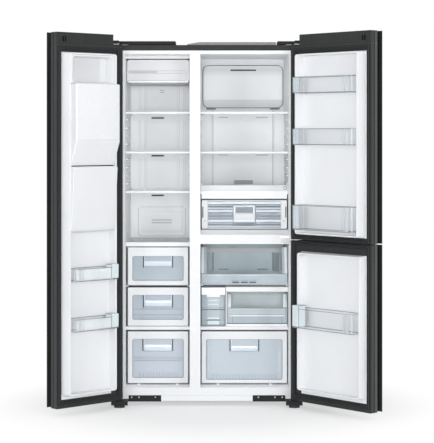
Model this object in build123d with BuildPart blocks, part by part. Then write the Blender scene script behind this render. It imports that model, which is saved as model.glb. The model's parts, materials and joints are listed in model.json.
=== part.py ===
from build123d import *

import os
from dataclasses import dataclass
from math import cos, radians, sin

# A side by side refrigerator with a tall freezer door on the left and two fridge doors, one over the
# other, on the right. It stands with its doors open and its drawers pushed in.
# Lengths are in millimetres and +Z is up. The pieces are drawn in the cabinet's own frame: X to the
# right from the cabinet's middle, Y to the back from its front face, Z up from the floor. Door pieces
# are drawn as if the door were shut, in a frame that is turned about the door's hinge pins.

# ---- Cabinet ----
cabinet_width = 920.0
cabinet_depth = 630.0
cabinet_top = 1750.0
cabinet_bottom = 23.0
sheet = 1.0                # steel of the outer wrapper, back and base
face_sheet = 1.5           # steel of the white face frame
liner_wall = 1.5           # moulded plastic of the compartment and door liners
side_wall = 62.0           # outside of the cabinet to the inside of a compartment
back_wall = 70.0
opening_top = 1706.0
opening_bottom = 88.0
top_strip = 27.0           # dark fold of the wrapper over the face frame
divider_middle = -58.0     # upright wall between freezer and fridge
divider_width = 52.0
machine_front = 400.0      # compressor room under the back of the cabinet
machine_top = 255.0
machine_wall = 40.0
fit_gap = 0.2              # between pieces that are pushed together
slide_gap = 0.3            # between a drawer and what it slides on

# ---- Doors ----
door_top = 1795.0
door_bottom = 35.0
door_gap = 5.0             # between neighbouring doors
left_door_width = 395.0
split_height = 806.0       # top of the lower fridge door
rail_bottom = split_height - 22    # level rail that both fridge doors close on
rail_top = split_height + 24
deck_top = rail_top + 19   # floor of the upper fridge room, behind the rail
inner_gap = 10.0           # cabinet face to the inner face of a shut door
door_thickness = 80.0
panel_thickness = 4.0
corner_radius = 30.0       # the front panel wraps round the door's edge beside the hinges
frame_wall = 3.0
pin_inset = 19.3           # hinge pin to the side of the door
pin_depth = 30.3           # hinge pin to the inner face of the door
pin_radius = 5.0
pin_play = 0.05
pin_length = 24.0
boss_radius = 9.0
left_open = 137.3          # opening angles in degrees, as the doors stand
right_open = 132.0
grip_depth = 20.0          # finger pocket along the free edge
grip_width = 30.0
hinge_strip = 72.0         # dark strip beside the hinges, on the inner face
free_strip = 25.0
cap_height = 60.0
foot_height = 41.0         # bottom cap
seam = 0.5
notch_width = 58.0         # room for the top hinge in a door's top corner
notch_drop = 2.0           # notch floor under the cabinet's top
gasket_width = 14.0
gasket_gap = 0.4           # left between a shut door's gasket and the face frame
gasket_free = 4.0
gasket_hinge = 20.0
ridge_height = 50.0        # raised ring of a door liner
low_ridge_height = 35.0
ridge_hinge = 15.0         # width of the ring's foot beside the hinges, and beside the free edge
ridge_free = 19.0
ridge_end = 11.0
ridge_slope = 11.5
ridge_slope_end = 5.0
bin_depth = 80.0
bin_wall = 2.5
bin_play = 0.5

# ---- Inside ----
front_line = 95.0          # fronts of shelves, drawers and trays behind the cabinet face
duct_front = 512.0         # face of the freezer's air duct
fridge_duct_front = 545.0
panel_skin = 2.0
glass = 4.0
trim_depth = 18.0
shelf_play = 2.0           # each side of a shelf
ledge_width = 12.0         # shelf and drawer ledges on the side walls
ledge_height = 5.0
drawer_play = 7.0          # each side of a drawer
tub_wall = 2.5
front_thickness = 16.0
low_back = machine_front - machine_wall
step_top = machine_top + machine_wall
drawer_back_play = 8.0

# ---- Worked out from the sizes above ----
half_width = cabinet_width / 2
room_back = cabinet_depth - back_wall
divider_x = (divider_middle - divider_width / 2, divider_middle + divider_width / 2)
freezer_x = (-half_width + side_wall, divider_x[0])
fridge_x = (divider_x[1], half_width - side_wall)
freezer_middle = (freezer_x[0] + freezer_x[1]) / 2
fridge_middle = (fridge_x[0] + fridge_x[1]) / 2
inner_face = -inner_gap
outer_face = inner_face - door_thickness
panel_back = outer_face + panel_thickness
pin_y = inner_face - pin_depth
pin_x = half_width - pin_inset
right_free_x = -half_width + left_door_width + door_gap
notch_floor = cabinet_top - notch_drop
upper_door_bottom = split_height + door_gap
bin_front = inner_face + bin_depth


def swing(x, y, hinge_x, angle):
    """Where a point of a shut door stands in the cabinet's frame once the door is turned."""
    c, s = cos(radians(angle)), sin(radians(angle))
    u, v = x - hinge_x, y - pin_y
    return hinge_x + u * c - v * s, pin_y + u * s + v * c


# The origin lies on the floor under the middle of the whole object's box, doors open.
bin_end = free_strip + ridge_free + bin_play
reach = [swing(-half_width + left_door_width, outer_face, -pin_x, -left_open)]
reach += [swing(right_free_x, outer_face, pin_x, right_open)]
reach += [swing(right_free_x + bin_end, bin_front, pin_x, right_open)]
reach += [(0.0, cabinet_depth)]
origin_x = (min(p[0] for p in reach) + max(p[0] for p in reach)) / 2
origin_y = (min(p[1] for p in reach) + max(p[1] for p in reach)) / 2

cabinet = Plane((-origin_x, -origin_y, 0), x_dir=(1, 0, 0), z_dir=(0, 0, 1))


def turned_frame(hinge_x, angle):
    """The cabinet's frame, turned about an upright hinge pin."""
    x, y = swing(0, 0, hinge_x, angle)
    direction = (cos(radians(angle)), sin(radians(angle)), 0)
    return Plane((x - origin_x, y - origin_y, 0), x_dir=direction, z_dir=(0, 0, 1))


def facing_front(frame, y):
    """Upright sketch plane at depth y: sketch x is the frame's x, sketch y is height, normal to the front."""
    return Plane(frame.from_local_coords(Vector(0, y, 0)), x_dir=frame.x_dir, z_dir=-frame.y_dir)


def facing_side(frame, x):
    """Upright sketch plane at x: sketch x is the frame's y, sketch y is height, normal to the right."""
    return Plane(frame.from_local_coords(Vector(x, 0, 0)), x_dir=frame.y_dir, z_dir=frame.x_dir)


def block(x, y, z, mode=Mode.ADD):
    """A box between two values each way, in the open builder's frame."""
    with Locations(((x[0] + x[1]) / 2, (y[0] + y[1]) / 2, (z[0] + z[1]) / 2)):
        Box(x[1] - x[0], y[1] - y[0], z[1] - z[0], mode=mode)


def upright_cylinder(x, y, z, radius, mode=Mode.ADD):
    """A cylinder about a vertical line from z[0] to z[1]."""
    with Locations((x, y, (z[0] + z[1]) / 2)):
        Cylinder(radius, z[1] - z[0], mode=mode)


def plate_outline(frame, y, x, z, radius, depth, mode=Mode.ADD):
    """A plate with rounded corners, its face at depth y and its body behind it."""
    with BuildSketch(facing_front(frame, y)) as outline:
        with Locations(((x[0] + x[1]) / 2, (z[0] + z[1]) / 2)):
            RectangleRounded(x[1] - x[0], z[1] - z[0], radius)
    extrude(outline.sketch, amount=-depth, mode=mode)


def side_profile(frame, x, points, mode=Mode.ADD):
    """A profile of (y, z) points, run across from x[0] to x[1]."""
    with BuildSketch(facing_side(frame, x[0])) as outline:
        with BuildLine():
            Polyline(*points, close=True)
        make_face()
    extrude(outline.sketch, amount=x[1] - x[0], mode=mode)


def inset(span, amount):
    """A pair of values, each drawn in by an amount."""
    return (span[0] + amount, span[1] - amount)


os.makedirs("parts", exist_ok=True)

# =====================================================================================================
# Cabinet
# =====================================================================================================

side_x = (half_width - sheet, half_width)
whole_x = (-half_width, half_width)
inside_x = inset(whole_x, sheet)

# The wrapper: two side sheets, a top sheet between them and a narrow dark strip over the face frame.
wrapper_seam = 0.1
with BuildPart(cabinet) as cabinet_shell:
    for side_sheet in (side_x, (-half_width, -half_width + sheet)):
        block(side_sheet, (0, cabinet_depth - sheet), (cabinet_bottom, cabinet_top))
    between_x = inset(inside_x, wrapper_seam)
    block(between_x, (face_sheet, cabinet_depth - sheet), (cabinet_top - sheet, cabinet_top))
    block(between_x, (0, face_sheet - wrapper_seam), (cabinet_top - top_strip, cabinet_top))
cabinet_shell.part.label = "cabinet_shell"
export_step(cabinet_shell.part, "parts/cabinet_shell.step")

with BuildPart(cabinet) as back_panel:
    block(whole_x, (cabinet_depth - sheet, cabinet_depth), (machine_top, cabinet_top))
back_panel.part.label = "back_panel"
export_step(back_panel.part, "parts/back_panel.step")

# Rear rollers: their axle runs in four ears under the base plate.
roller_radius = 18.0
roller_width = 24.0
roller_x = half_width - 60
roller_y = cabinet_depth - 45.0
axle_radius = 3.0
ear_thickness = 3.0
roller_gap = 1.0
ear_x = roller_width / 2 + roller_gap

with BuildPart(cabinet) as base_plate:
    block(inside_x, (face_sheet, cabinet_depth - sheet), (cabinet_bottom, cabinet_bottom + sheet))
    for wheel_x in (-roller_x, roller_x):
        for ear in (-ear_x - ear_thickness, ear_x):
            ear_span = (wheel_x + ear, wheel_x + ear + ear_thickness)
            block(ear_span, (roller_y - 12, roller_y + 12), (roller_radius - 8, cabinet_bottom))
        # the wheel stands up through a slot
        slot_x = (wheel_x - ear_x, wheel_x + ear_x)
        slot_y = (roller_y - roller_radius - 2, roller_y + roller_radius + 2)
        block(slot_x, slot_y, (cabinet_bottom, cabinet_bottom + sheet), mode=Mode.SUBTRACT)
    with BuildSketch(facing_side(cabinet, -half_width)):
        with Locations((roller_y, roller_radius)):
            Circle(axle_radius + pin_play)
    extrude(amount=cabinet_width, mode=Mode.SUBTRACT)
base_plate.part.label = "base_plate"
export_step(base_plate.part, "parts/base_plate.step")

with BuildPart(cabinet) as rear_rollers:
    axle_reach = roller_x + ear_x + ear_thickness + roller_gap
    with BuildSketch(facing_side(cabinet, -axle_reach)):
        with Locations((roller_y, roller_radius)):
            Circle(axle_radius)
    extrude(amount=2 * axle_reach)
    for wheel_x in (-roller_x, roller_x):
        with BuildSketch(facing_side(cabinet, wheel_x - roller_width / 2)):
            with Locations((roller_y, roller_radius)):
                Circle(roller_radius)
        extrude(amount=roller_width)
rear_rollers.part.label = "rear_rollers"
export_step(rear_rollers.part, "parts/rear_rollers.step")

# Foam fills the walls between the wrapper and the liners, as slabs that meet face to face.
foam_top = cabinet_top - sheet
foam_bottom = cabinet_bottom + sheet
foam_back = cabinet_depth - sheet
foam_front = face_sheet
wall_in = (freezer_x[0] - liner_wall, fridge_x[1] + liner_wall)
hairline = 0.1
slabs = [
    ((inside_x[0], wall_in[0]), (foam_front, machine_front), (foam_bottom, foam_top)),
    ((wall_in[1], inside_x[1]), (foam_front, machine_front), (foam_bottom, foam_top)),
    ((inside_x[0], wall_in[0]), (machine_front + hairline, foam_back), (machine_top, foam_top)),
    ((wall_in[1], inside_x[1]), (machine_front + hairline, foam_back), (machine_top, foam_top)),
    (inset(wall_in, hairline), (foam_front, foam_back), (opening_top + liner_wall, foam_top)),
    (inset(wall_in, hairline), (foam_front, low_back), (foam_bottom, opening_bottom - liner_wall)),
    (inset(wall_in, hairline), (low_back + liner_wall, machine_front), (foam_bottom, step_top - liner_wall)),
    (inset(wall_in, hairline), (machine_front + hairline, room_back), (machine_top, step_top - liner_wall)),
    (
        inset(wall_in, hairline),
        (room_back + liner_wall, foam_back),
        (machine_top, opening_top + liner_wall - hairline),
    ),
    (
        inset(divider_x, liner_wall),
        (foam_front, low_back),
        (opening_bottom - liner_wall + hairline, opening_top + liner_wall - hairline),
    ),
    (
        inset(divider_x, liner_wall),
        (low_back + hairline, room_back + liner_wall - hairline),
        (step_top - liner_wall + hairline, opening_top + liner_wall - hairline),
    ),
]
with BuildPart(cabinet) as insulation:
    for slab in slabs:
        block(*slab)
insulation.part.label = "insulation"
export_step(insulation.part, "parts/insulation.step")


# A compartment's floor steps up at the back, over the compressor room.
def room_profile(skin):
    """Side view of a compartment, grown by the liner's wall on every side but the front."""
    return [
        (face_sheet, opening_bottom - skin),
        (low_back + skin, opening_bottom - skin),
        (low_back + skin, step_top - skin),
        (room_back + skin, step_top - skin),
        (room_back + skin, opening_top + skin),
        (face_sheet, opening_top + skin),
    ]


def liner(room_x, ledges):
    """One compartment's moulded liner, with the ledges that carry shelves and drawers."""
    with BuildPart(cabinet) as made:
        side_profile(cabinet, (room_x[0] - liner_wall, room_x[1] + liner_wall), room_profile(liner_wall))
        side_profile(cabinet, room_x, room_profile(0), mode=Mode.SUBTRACT)
        for top, back in ledges:
            for wall_x in ((room_x[0], room_x[0] + ledge_width), (room_x[1] - ledge_width, room_x[1])):
                block(wall_x, (front_line + trim_depth, back), (top - ledge_height, top))
        # two low runners on the floor carry the bottom drawer
        for runner in (0.2, 0.8):
            middle = room_x[0] + runner * (room_x[1] - room_x[0])
            block((middle - 6, middle + 6), (front_line, low_back), (opening_bottom, floor_runner_top))
    return made


# Heights of what stands in the two compartments. A shelf's height is the middle of its front trim.
shelf_heights = [1422.0, 1227.0]
low_shelf_height = 1033.0
freezer_cover_height = 776.0
fridge_cover_height = deck_top + 170.5
bottom_shelf_height = 364.0
shelf_trim = 13.0
cover_trim = 22.0
fridge_cover_trim = 41.0
bottom_trim = 18.0
trim_lip = 3.0             # front trim over the glass
floor_runner_top = opening_bottom + 3.7
top_drawer_z = (freezer_cover_height - 203, freezer_cover_height - 13)
middle_drawer_top = top_drawer_z[0] - 7
bottom_shelf_top = bottom_shelf_height + bottom_trim / 2
tray_z = (rail_bottom - 207, rail_bottom - 24)
shelf_back_play = 3.0


def glass_top(height, trim, lip):
    """Top of a shelf's glass, under the lip of its trim."""
    return height + trim / 2 - lip


freezer_shelf_rows = [(h, shelf_trim, trim_lip) for h in (*shelf_heights, low_shelf_height)]
freezer_shelf_rows += [(freezer_cover_height, cover_trim, trim_lip), (bottom_shelf_height, bottom_trim, 0)]
fridge_shelf_rows = [(h, shelf_trim, trim_lip) for h in shelf_heights]
fridge_shelf_rows += [(fridge_cover_height, fridge_cover_trim, trim_lip)]
fridge_shelf_rows += [(bottom_shelf_height, bottom_trim, 0)]

freezer_shelf_back = duct_front - shelf_back_play
fridge_shelf_back = fridge_duct_front - shelf_back_play
freezer_ledges = [(glass_top(*row) - glass, freezer_shelf_back) for row in freezer_shelf_rows]
freezer_ledges += [(top_drawer_z[0] - slide_gap, freezer_shelf_back)]
fridge_ledges = [(glass_top(*row) - glass, fridge_shelf_back) for row in fridge_shelf_rows]
fridge_ledges += [(tray_z[0] - slide_gap, fridge_shelf_back)]

freezer_liner = liner(freezer_x, freezer_ledges)
freezer_liner.part.label = "freezer_liner"
export_step(freezer_liner.part, "parts/freezer_liner.step")

fridge_liner = liner(fridge_x, fridge_ledges)
fridge_liner.part.label = "fridge_liner"
export_step(fridge_liner.part, "parts/fridge_liner.step")

# The middle hinge is let into the face frame, flush with it.
arm_width = 36.0
arm_x = (pin_x - arm_width / 2, pin_x + arm_width / 2)
middle_hinge_x = (arm_x[0] - 67.7, arm_x[1])
middle_hinge_z = (split_height - 12, split_height + 16)

with BuildPart(cabinet) as front_frame:
    block(inset(inside_x, wrapper_seam), (0, face_sheet), (foam_bottom, cabinet_top - top_strip))
    block(freezer_x, (0, face_sheet), (opening_bottom, opening_top), mode=Mode.SUBTRACT)
    block(fridge_x, (0, face_sheet), (opening_bottom, rail_bottom), mode=Mode.SUBTRACT)
    block(fridge_x, (0, face_sheet), (rail_top, opening_top), mode=Mode.SUBTRACT)
    hinge_bed = (inset(middle_hinge_x, -fit_gap), inset(middle_hinge_z, -fit_gap))
    block(hinge_bed[0], (0, face_sheet), hinge_bed[1], mode=Mode.SUBTRACT)
front_frame.part.label = "front_frame"
export_step(front_frame.part, "parts/front_frame.step")

# Floor of the upper fridge room, with the rail that both right doors close on.
deck_slope = (30.0, 60.0)
with BuildPart(cabinet) as compartment_partition:
    deck_profile = [
        (face_sheet + fit_gap, rail_bottom),
        (room_back - fit_gap, rail_bottom),
        (room_back - fit_gap, deck_top),
        (deck_slope[1], deck_top),
        (deck_slope[0], rail_top),
        (face_sheet + fit_gap, rail_top),
    ]
    side_profile(cabinet, inset(fridge_x, fit_gap), deck_profile)
compartment_partition.part.label = "compartment_partition"
export_step(compartment_partition.part, "parts/compartment_partition.step")

bracket_reach = 238.0      # length of a bottom hinge's flange along the cabinet
kick_x = inset(whole_x, bracket_reach + fit_gap)
kick_z = (cabinet_bottom, 48.0)
kick_depth = 6.0
with BuildPart(cabinet) as kick_panel:
    block(kick_x, (-kick_depth, 0), kick_z)
    fillet(kick_panel.edges().filter_by(Axis.X).group_by(Axis.Y)[0], 2)
kick_panel.part.label = "kick_panel"
export_step(kick_panel.part, "parts/kick_panel.step")

# =====================================================================================================
# Cooling
# =====================================================================================================

# The freezer's air duct is a dished panel over the evaporator, with slits under the shelves.
top_panel_z = (opening_top - 136, opening_top - 12)
duct_z = (step_top + fit_gap, top_panel_z[0] - 5)
duct_x = inset(freezer_x, 2 * fit_gap)
slit_x = (freezer_middle - 48, freezer_middle + 15)
slit_height = 7.0
slit_heights = [height - 21 for height in shelf_heights] + [low_shelf_height - 32]
grille_x = (freezer_middle - 43, freezer_middle + 61)
grille_z = (freezer_cover_height + 85, freezer_cover_height + 137)
grille_bars = 5
rib_x = [freezer_middle + side for side in (-109, -79, 91, 121)]
rib_z = (freezer_cover_height + 24, duct_z[1] - 5)

with BuildPart(cabinet) as freezer_duct_panel:
    block(duct_x, (duct_front, room_back), duct_z)
    block(inset(duct_x, panel_skin), (duct_front + panel_skin, room_back), inset(duct_z, panel_skin),
          mode=Mode.SUBTRACT)
    for rib in rib_x:
        block((rib - 3, rib + 3), (duct_front - 1.5, duct_front), rib_z)
    for height in slit_heights:
        slit_z = (height - slit_height / 2, height + slit_height / 2)
        block(slit_x, (duct_front, duct_front + panel_skin), slit_z, mode=Mode.SUBTRACT)
    grille_pitch = (grille_z[1] - grille_z[0]) / grille_bars
    for bar in range(grille_bars):
        low = grille_z[0] + bar * grille_pitch
        gap_z = (low, low + 0.6 * grille_pitch)
        block(grille_x, (duct_front, duct_front + panel_skin), gap_z, mode=Mode.SUBTRACT)
freezer_duct_panel.part.label = "freezer_duct_panel"
export_step(freezer_duct_panel.part, "parts/freezer_duct_panel.step")

top_panel_radius = 28.0
top_panel_depth = 22.0
with BuildPart(cabinet) as freezer_top_panel:
    panel_face = duct_front - top_panel_depth
    plate_outline(cabinet, panel_face, duct_x, top_panel_z, top_panel_radius, room_back - panel_face)
    # a shallow band across the face
    groove_z = (top_panel_z[0] + 45, top_panel_z[0] + 65)
    block(inset(duct_x, 12), (panel_face, panel_face + 3), groove_z, mode=Mode.SUBTRACT)
    block(inset(duct_x, 30), (panel_face - 6, panel_face), (top_panel_z[0] + 2, top_panel_z[0] + 14))
freezer_top_panel.part.label = "freezer_top_panel"
export_step(freezer_top_panel.part, "parts/freezer_top_panel.step")

# In the fridge a flat duct cover runs up the back wall, and a wide rounded cover closes its top.
fridge_duct_x = inset(fridge_x, 60)
fridge_top_z = (opening_top - 258, opening_top - 27)
fridge_duct_z = (deck_top + fit_gap, fridge_top_z[0] - 8)
fridge_slits = [(fridge_middle - 124, fridge_middle - 76), (fridge_middle + 68, fridge_middle + 130)]
fridge_top_slit = (fridge_middle - 65, fridge_middle + 68)
vent_x = (fridge_middle - 46, fridge_middle + 52)
vent_z = (fridge_cover_height + 38.5, fridge_cover_height + 59.5)
with BuildPart(cabinet) as fridge_duct_panel:
    block(fridge_duct_x, (fridge_duct_front, room_back), fridge_duct_z)
    for height in slit_heights[:2]:
        for slit in fridge_slits:
            block(slit, (fridge_duct_front, fridge_duct_front + 6), (height, height + 6), mode=Mode.SUBTRACT)
    block(vent_x, (fridge_duct_front, fridge_duct_front + 6), vent_z, mode=Mode.SUBTRACT)
    top_x = inset(fridge_x, 2 * fit_gap)
    top_face = fridge_duct_front - 5
    plate_outline(cabinet, top_face, top_x, fridge_top_z, 28, room_back - top_face)
    top_slit_z = (fridge_top_z[1] - 34, fridge_top_z[1] - 27)
    block(fridge_top_slit, (top_face, top_face + 8), top_slit_z, mode=Mode.SUBTRACT)
    groove_z = (fridge_top_z[0] + 20, fridge_top_z[0] + 42)
    block(inset(top_x, 8), (top_face, top_face + 2), groove_z, mode=Mode.SUBTRACT)
fridge_duct_panel.part.label = "fridge_duct_panel"
export_step(fridge_duct_panel.part, "parts/fridge_duct_panel.step")


def finned_coil(x, y, z, fins, tube_rows, tube_columns, tube_radius=4.0, fin_thickness=0.8):
    """A heat exchanger: upright fins across x on level tubes."""
    with BuildPart(cabinet) as coil:
        pitch = (x[1] - x[0] - fin_thickness) / (fins - 1)
        for fin in range(fins):
            left = x[0] + fin * pitch
            block((left, left + fin_thickness), y, z)
        for row in range(tube_rows):
            for column in range(tube_columns):
                tube_y = y[0] + (column + 0.5) * (y[1] - y[0]) / tube_columns
                tube_z = z[0] + (row + 0.5) * (z[1] - z[0]) / tube_rows
                with BuildSketch(facing_side(cabinet, x[0])):
                    with Locations((tube_y, tube_z)):
                        Circle(tube_radius)
                extrude(amount=x[1] - x[0])
    return coil


evaporator_x = inset(duct_x, 20)
evaporator_y = (duct_front + panel_skin + slide_gap, room_back - slide_gap)
evaporator_z = (400.0, 760.0)
evaporator = finned_coil(evaporator_x, evaporator_y, evaporator_z, 24, 6, 2)
evaporator.part.label = "evaporator"
export_step(evaporator.part, "parts/evaporator.step")

# Condenser in the compressor room, standing in the drip pan.
pan_x = (-half_width + 110, -half_width + 290)
pan_y = (machine_front + 25, cabinet_depth - 25)
pan_z = (foam_bottom, foam_bottom + 30)
with BuildPart(cabinet) as drip_pan:
    block(pan_x, pan_y, pan_z)
    block(inset(pan_x, 2), inset(pan_y, 2), (pan_z[0] + 2, pan_z[1]), mode=Mode.SUBTRACT)
drip_pan.part.label = "drip_pan"
export_step(drip_pan.part, "parts/drip_pan.step")

condenser_z = (pan_z[0] + 2, machine_top - 30)
condenser = finned_coil(inset(pan_x, 12), inset(pan_y, 12), condenser_z, 20, 6, 4)
condenser.part.label = "condenser"
export_step(condenser.part, "parts/condenser.step")

# Compressor: a welded dome on a foot plate, with two pipe stubs.
compressor_at = (half_width - 230, machine_front + 115)
compressor_radius = 72.0
compressor_height = 160.0
with BuildPart(cabinet) as compressor:
    foot = foam_bottom + 12
    block((compressor_at[0] - 100, compressor_at[0] + 100), (compressor_at[1] - 55, compressor_at[1] + 55),
          (foot, foot + 3))
    upright_cylinder(*compressor_at, (foot + 3, foot + compressor_height), compressor_radius)
    fillet(compressor.edges().filter_by(GeomType.CIRCLE).group_by(Axis.Z)[-1], 40)
    for corner_x in (-88, 88):
        for corner_y in (-43, 43):
            corner = (compressor_at[0] + corner_x, compressor_at[1] + corner_y)
            upright_cylinder(*corner, (foam_bottom, foot), 10)
    stub_z = (foot + 100, foot + compressor_height + 20)
    upright_cylinder(compressor_at[0] - 50, compressor_at[1], stub_z, 5)
    upright_cylinder(compressor_at[0] - 30, compressor_at[1] + 35, stub_z, 4)
compressor.part.label = "compressor"
export_step(compressor.part, "parts/compressor.step")

# Each fan is pushed on the shaft of a motor that stands behind it.
shaft_radius = 2.5
evaporator_fan_at = (sum(grille_x) / 2, sum(grille_z) / 2)
evaporator_fan_radius = 46.0
evaporator_fan_y = (duct_front + panel_skin + 3, duct_front + panel_skin + 19)
evaporator_motor_y = (evaporator_fan_y[1] + 2, room_back)
condenser_fan_at = (machine_front + 115, 140.0)
condenser_fan_radius = 85.0
condenser_fan_x = (pan_x[1] + 14, pan_x[1] + 40)
condenser_motor_x = (condenser_fan_x[1] + 3, condenser_fan_x[1] + 48)
motor_radius = 22.0
shaft_play = 0.05


def fan(axis_plane, radius, hub_radius, depth, blades):
    """A hub with pitched blades around axis_plane's normal, from the plane forward, and a shaft bore."""
    with BuildPart(axis_plane) as wheel:
        Cylinder(hub_radius, depth, align=(Align.CENTER, Align.CENTER, Align.MIN))
        blade_length = radius - hub_radius + 2
        with Locations((0, 0, depth / 2)):
            with PolarLocations(hub_radius + blade_length / 2 - 2, blades):
                Box(blade_length, 0.42 * radius, 1.6, rotation=(24, 0, 0))
        Cylinder(shaft_radius + shaft_play, depth, align=(Align.CENTER, Align.CENTER, Align.MIN),
                 mode=Mode.SUBTRACT)
    return wheel


def axis_at(origin, direction):
    """A plane whose normal is a shaft's direction."""
    return Plane(cabinet.from_local_coords(Vector(*origin)), x_dir=(0, 0, 1), z_dir=direction)


evaporator_fan_plane = axis_at((evaporator_fan_at[0], evaporator_fan_y[1], evaporator_fan_at[1]), (0, -1, 0))
evaporator_fan_depth = evaporator_fan_y[1] - evaporator_fan_y[0]
evaporator_fan = fan(evaporator_fan_plane, evaporator_fan_radius, 14, evaporator_fan_depth, 5)
evaporator_fan.part.label = "evaporator_fan"
export_step(evaporator_fan.part, "parts/evaporator_fan.step")

condenser_fan_plane = axis_at((condenser_fan_x[1], *condenser_fan_at), (-1, 0, 0))
condenser_fan_depth = condenser_fan_x[1] - condenser_fan_x[0]
condenser_fan = fan(condenser_fan_plane, condenser_fan_radius, 22, condenser_fan_depth, 5)
condenser_fan.part.label = "condenser_fan"
export_step(condenser_fan.part, "parts/condenser_fan.step")

with BuildPart() as fan_motors:
    evaporator_motor_gap = evaporator_motor_y[0] - evaporator_fan_y[1]
    with BuildSketch(evaporator_fan_plane.offset(-evaporator_motor_gap)):
        Circle(motor_radius)
    extrude(amount=-(evaporator_motor_y[1] - evaporator_motor_y[0]))
    with BuildSketch(evaporator_fan_plane.offset(-evaporator_motor_gap)):
        Circle(shaft_radius)
    extrude(amount=evaporator_motor_gap + evaporator_fan_depth - 2)
    condenser_motor_gap = condenser_motor_x[0] - condenser_fan_x[1]
    with BuildSketch(condenser_fan_plane.offset(-condenser_motor_gap)):
        Circle(motor_radius + 6)
    extrude(amount=-(condenser_motor_x[1] - condenser_motor_x[0]))
    with BuildSketch(condenser_fan_plane.offset(-condenser_motor_gap)):
        Circle(shaft_radius)
    extrude(amount=condenser_motor_gap + condenser_fan_depth - 2)
    # the condenser fan's motor stands on a post
    post_middle = (condenser_motor_x[0] + condenser_motor_x[1]) / 2
    with BuildSketch(cabinet.offset(foam_bottom)):
        with Locations((post_middle, condenser_fan_at[0])):
            Rectangle(20, 30)
    extrude(amount=condenser_fan_at[1] - foam_bottom)
fan_motors.part.label = "fan_motors"
export_step(fan_motors.part, "parts/fan_motors.step")

# Slotted cover over the compressor room, at the back.
slot_columns = 18
slot_rows = 2
with BuildPart(cabinet) as machine_room_cover:
    block(inside_x, (foam_back, cabinet_depth), (foam_bottom, machine_top - fit_gap))
    with BuildSketch(facing_front(cabinet, foam_back)):
        with Locations((0, (foam_bottom + machine_top) / 2)):
            with GridLocations(44, 95, slot_columns, slot_rows):
                SlotOverall(70, 10, rotation=90)
    extrude(amount=-sheet, mode=Mode.SUBTRACT)
machine_room_cover.part.label = "machine_room_cover"
export_step(machine_room_cover.part, "parts/machine_room_cover.step")

# =====================================================================================================
# Hinges, covers and feet
# =====================================================================================================

hinge_plate = 3.0
arm_front = pin_y - 16
top_plate_back = 90.0
cover_height = 16.0
collar_radius = 9.0
pin_end = notch_floor - pin_length


def mirrored(span, side):
    """A span measured outwards from the middle, on the left (-1) or the right (1)."""
    return tuple(sorted((side * span[0], side * span[1])))


with BuildPart(cabinet) as top_hinges:
    for side in (-1, 1):
        plate_z = (cabinet_top, cabinet_top + hinge_plate)
        block(mirrored(arm_x, side), (arm_front, top_plate_back), plate_z)
        block(mirrored((arm_x[0] - 40, arm_x[1]), side), (20, top_plate_back), plate_z)
        upright_cylinder(side * pin_x, pin_y, (pin_end, cabinet_top + hinge_plate), pin_radius)
top_hinges.part.label = "top_hinges"
export_step(top_hinges.part, "parts/top_hinges.step")

# Each cover is a moulded cap over its hinge plate. The left one also hides the door's wiring.
cover_reach = {-1: 152.0, 1: 342.0}
cover_back = 105.0
with BuildPart(cabinet) as hinge_covers:
    for side in (-1, 1):
        cover_z = (cabinet_top + hinge_plate, cabinet_top + hinge_plate + cover_height)
        block(mirrored((cover_reach[side], arm_x[1]), side), (4, cover_back), cover_z)
        block(mirrored(arm_x, side), (arm_front - 2, 4), cover_z)
        # skirt down to the cabinet's top behind the plate
        block(mirrored((cover_reach[side], arm_x[1]), side), (top_plate_back + fit_gap, cover_back),
              (cabinet_top, cover_z[0]))
    fillet(hinge_covers.edges().group_by(Axis.Z)[-1], 4)
hinge_covers.part.label = "hinge_covers"
export_step(hinge_covers.part, "parts/hinge_covers.step")

control_x = (divider_x[0] - 12, half_width - 124)
control_depth = (12.0, 230.0)
control_height = 15.0
with BuildPart(cabinet) as control_box_cover:
    with BuildSketch(facing_front(cabinet, control_depth[0])):
        with BuildLine():
            Polyline(
                (control_x[0], cabinet_top),
                (control_x[1], cabinet_top),
                (control_x[1], cabinet_top + control_height),
                (control_x[0] + 60, cabinet_top + control_height),
                (control_x[0], cabinet_top + 5),
                close=True,
            )
        make_face()
    extrude(amount=-(control_depth[1] - control_depth[0]))
    fillet(control_box_cover.edges().filter_by(Axis.Y).group_by(Axis.Z)[-1], 3)
control_box_cover.part.label = "control_box_cover"
export_step(control_box_cover.part, "parts/control_box_cover.step")

# The middle hinge carries a pin up into the upper door and one down into the lower door.
middle_z = (split_height + 1, split_height + 4)
with BuildPart(cabinet) as middle_hinge:
    block(middle_hinge_x, (0, face_sheet), middle_hinge_z)
    block(arm_x, (arm_front, face_sheet), middle_z)
    upright_cylinder(pin_x, pin_y, (middle_z[0] - pin_length, middle_z[1] + pin_length), pin_radius)
    upright_cylinder(
        pin_x, pin_y, (split_height + slide_gap, upper_door_bottom - slide_gap), collar_radius
    )
middle_hinge.part.label = "middle_hinge"
export_step(middle_hinge.part, "parts/middle_hinge.step")

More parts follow.
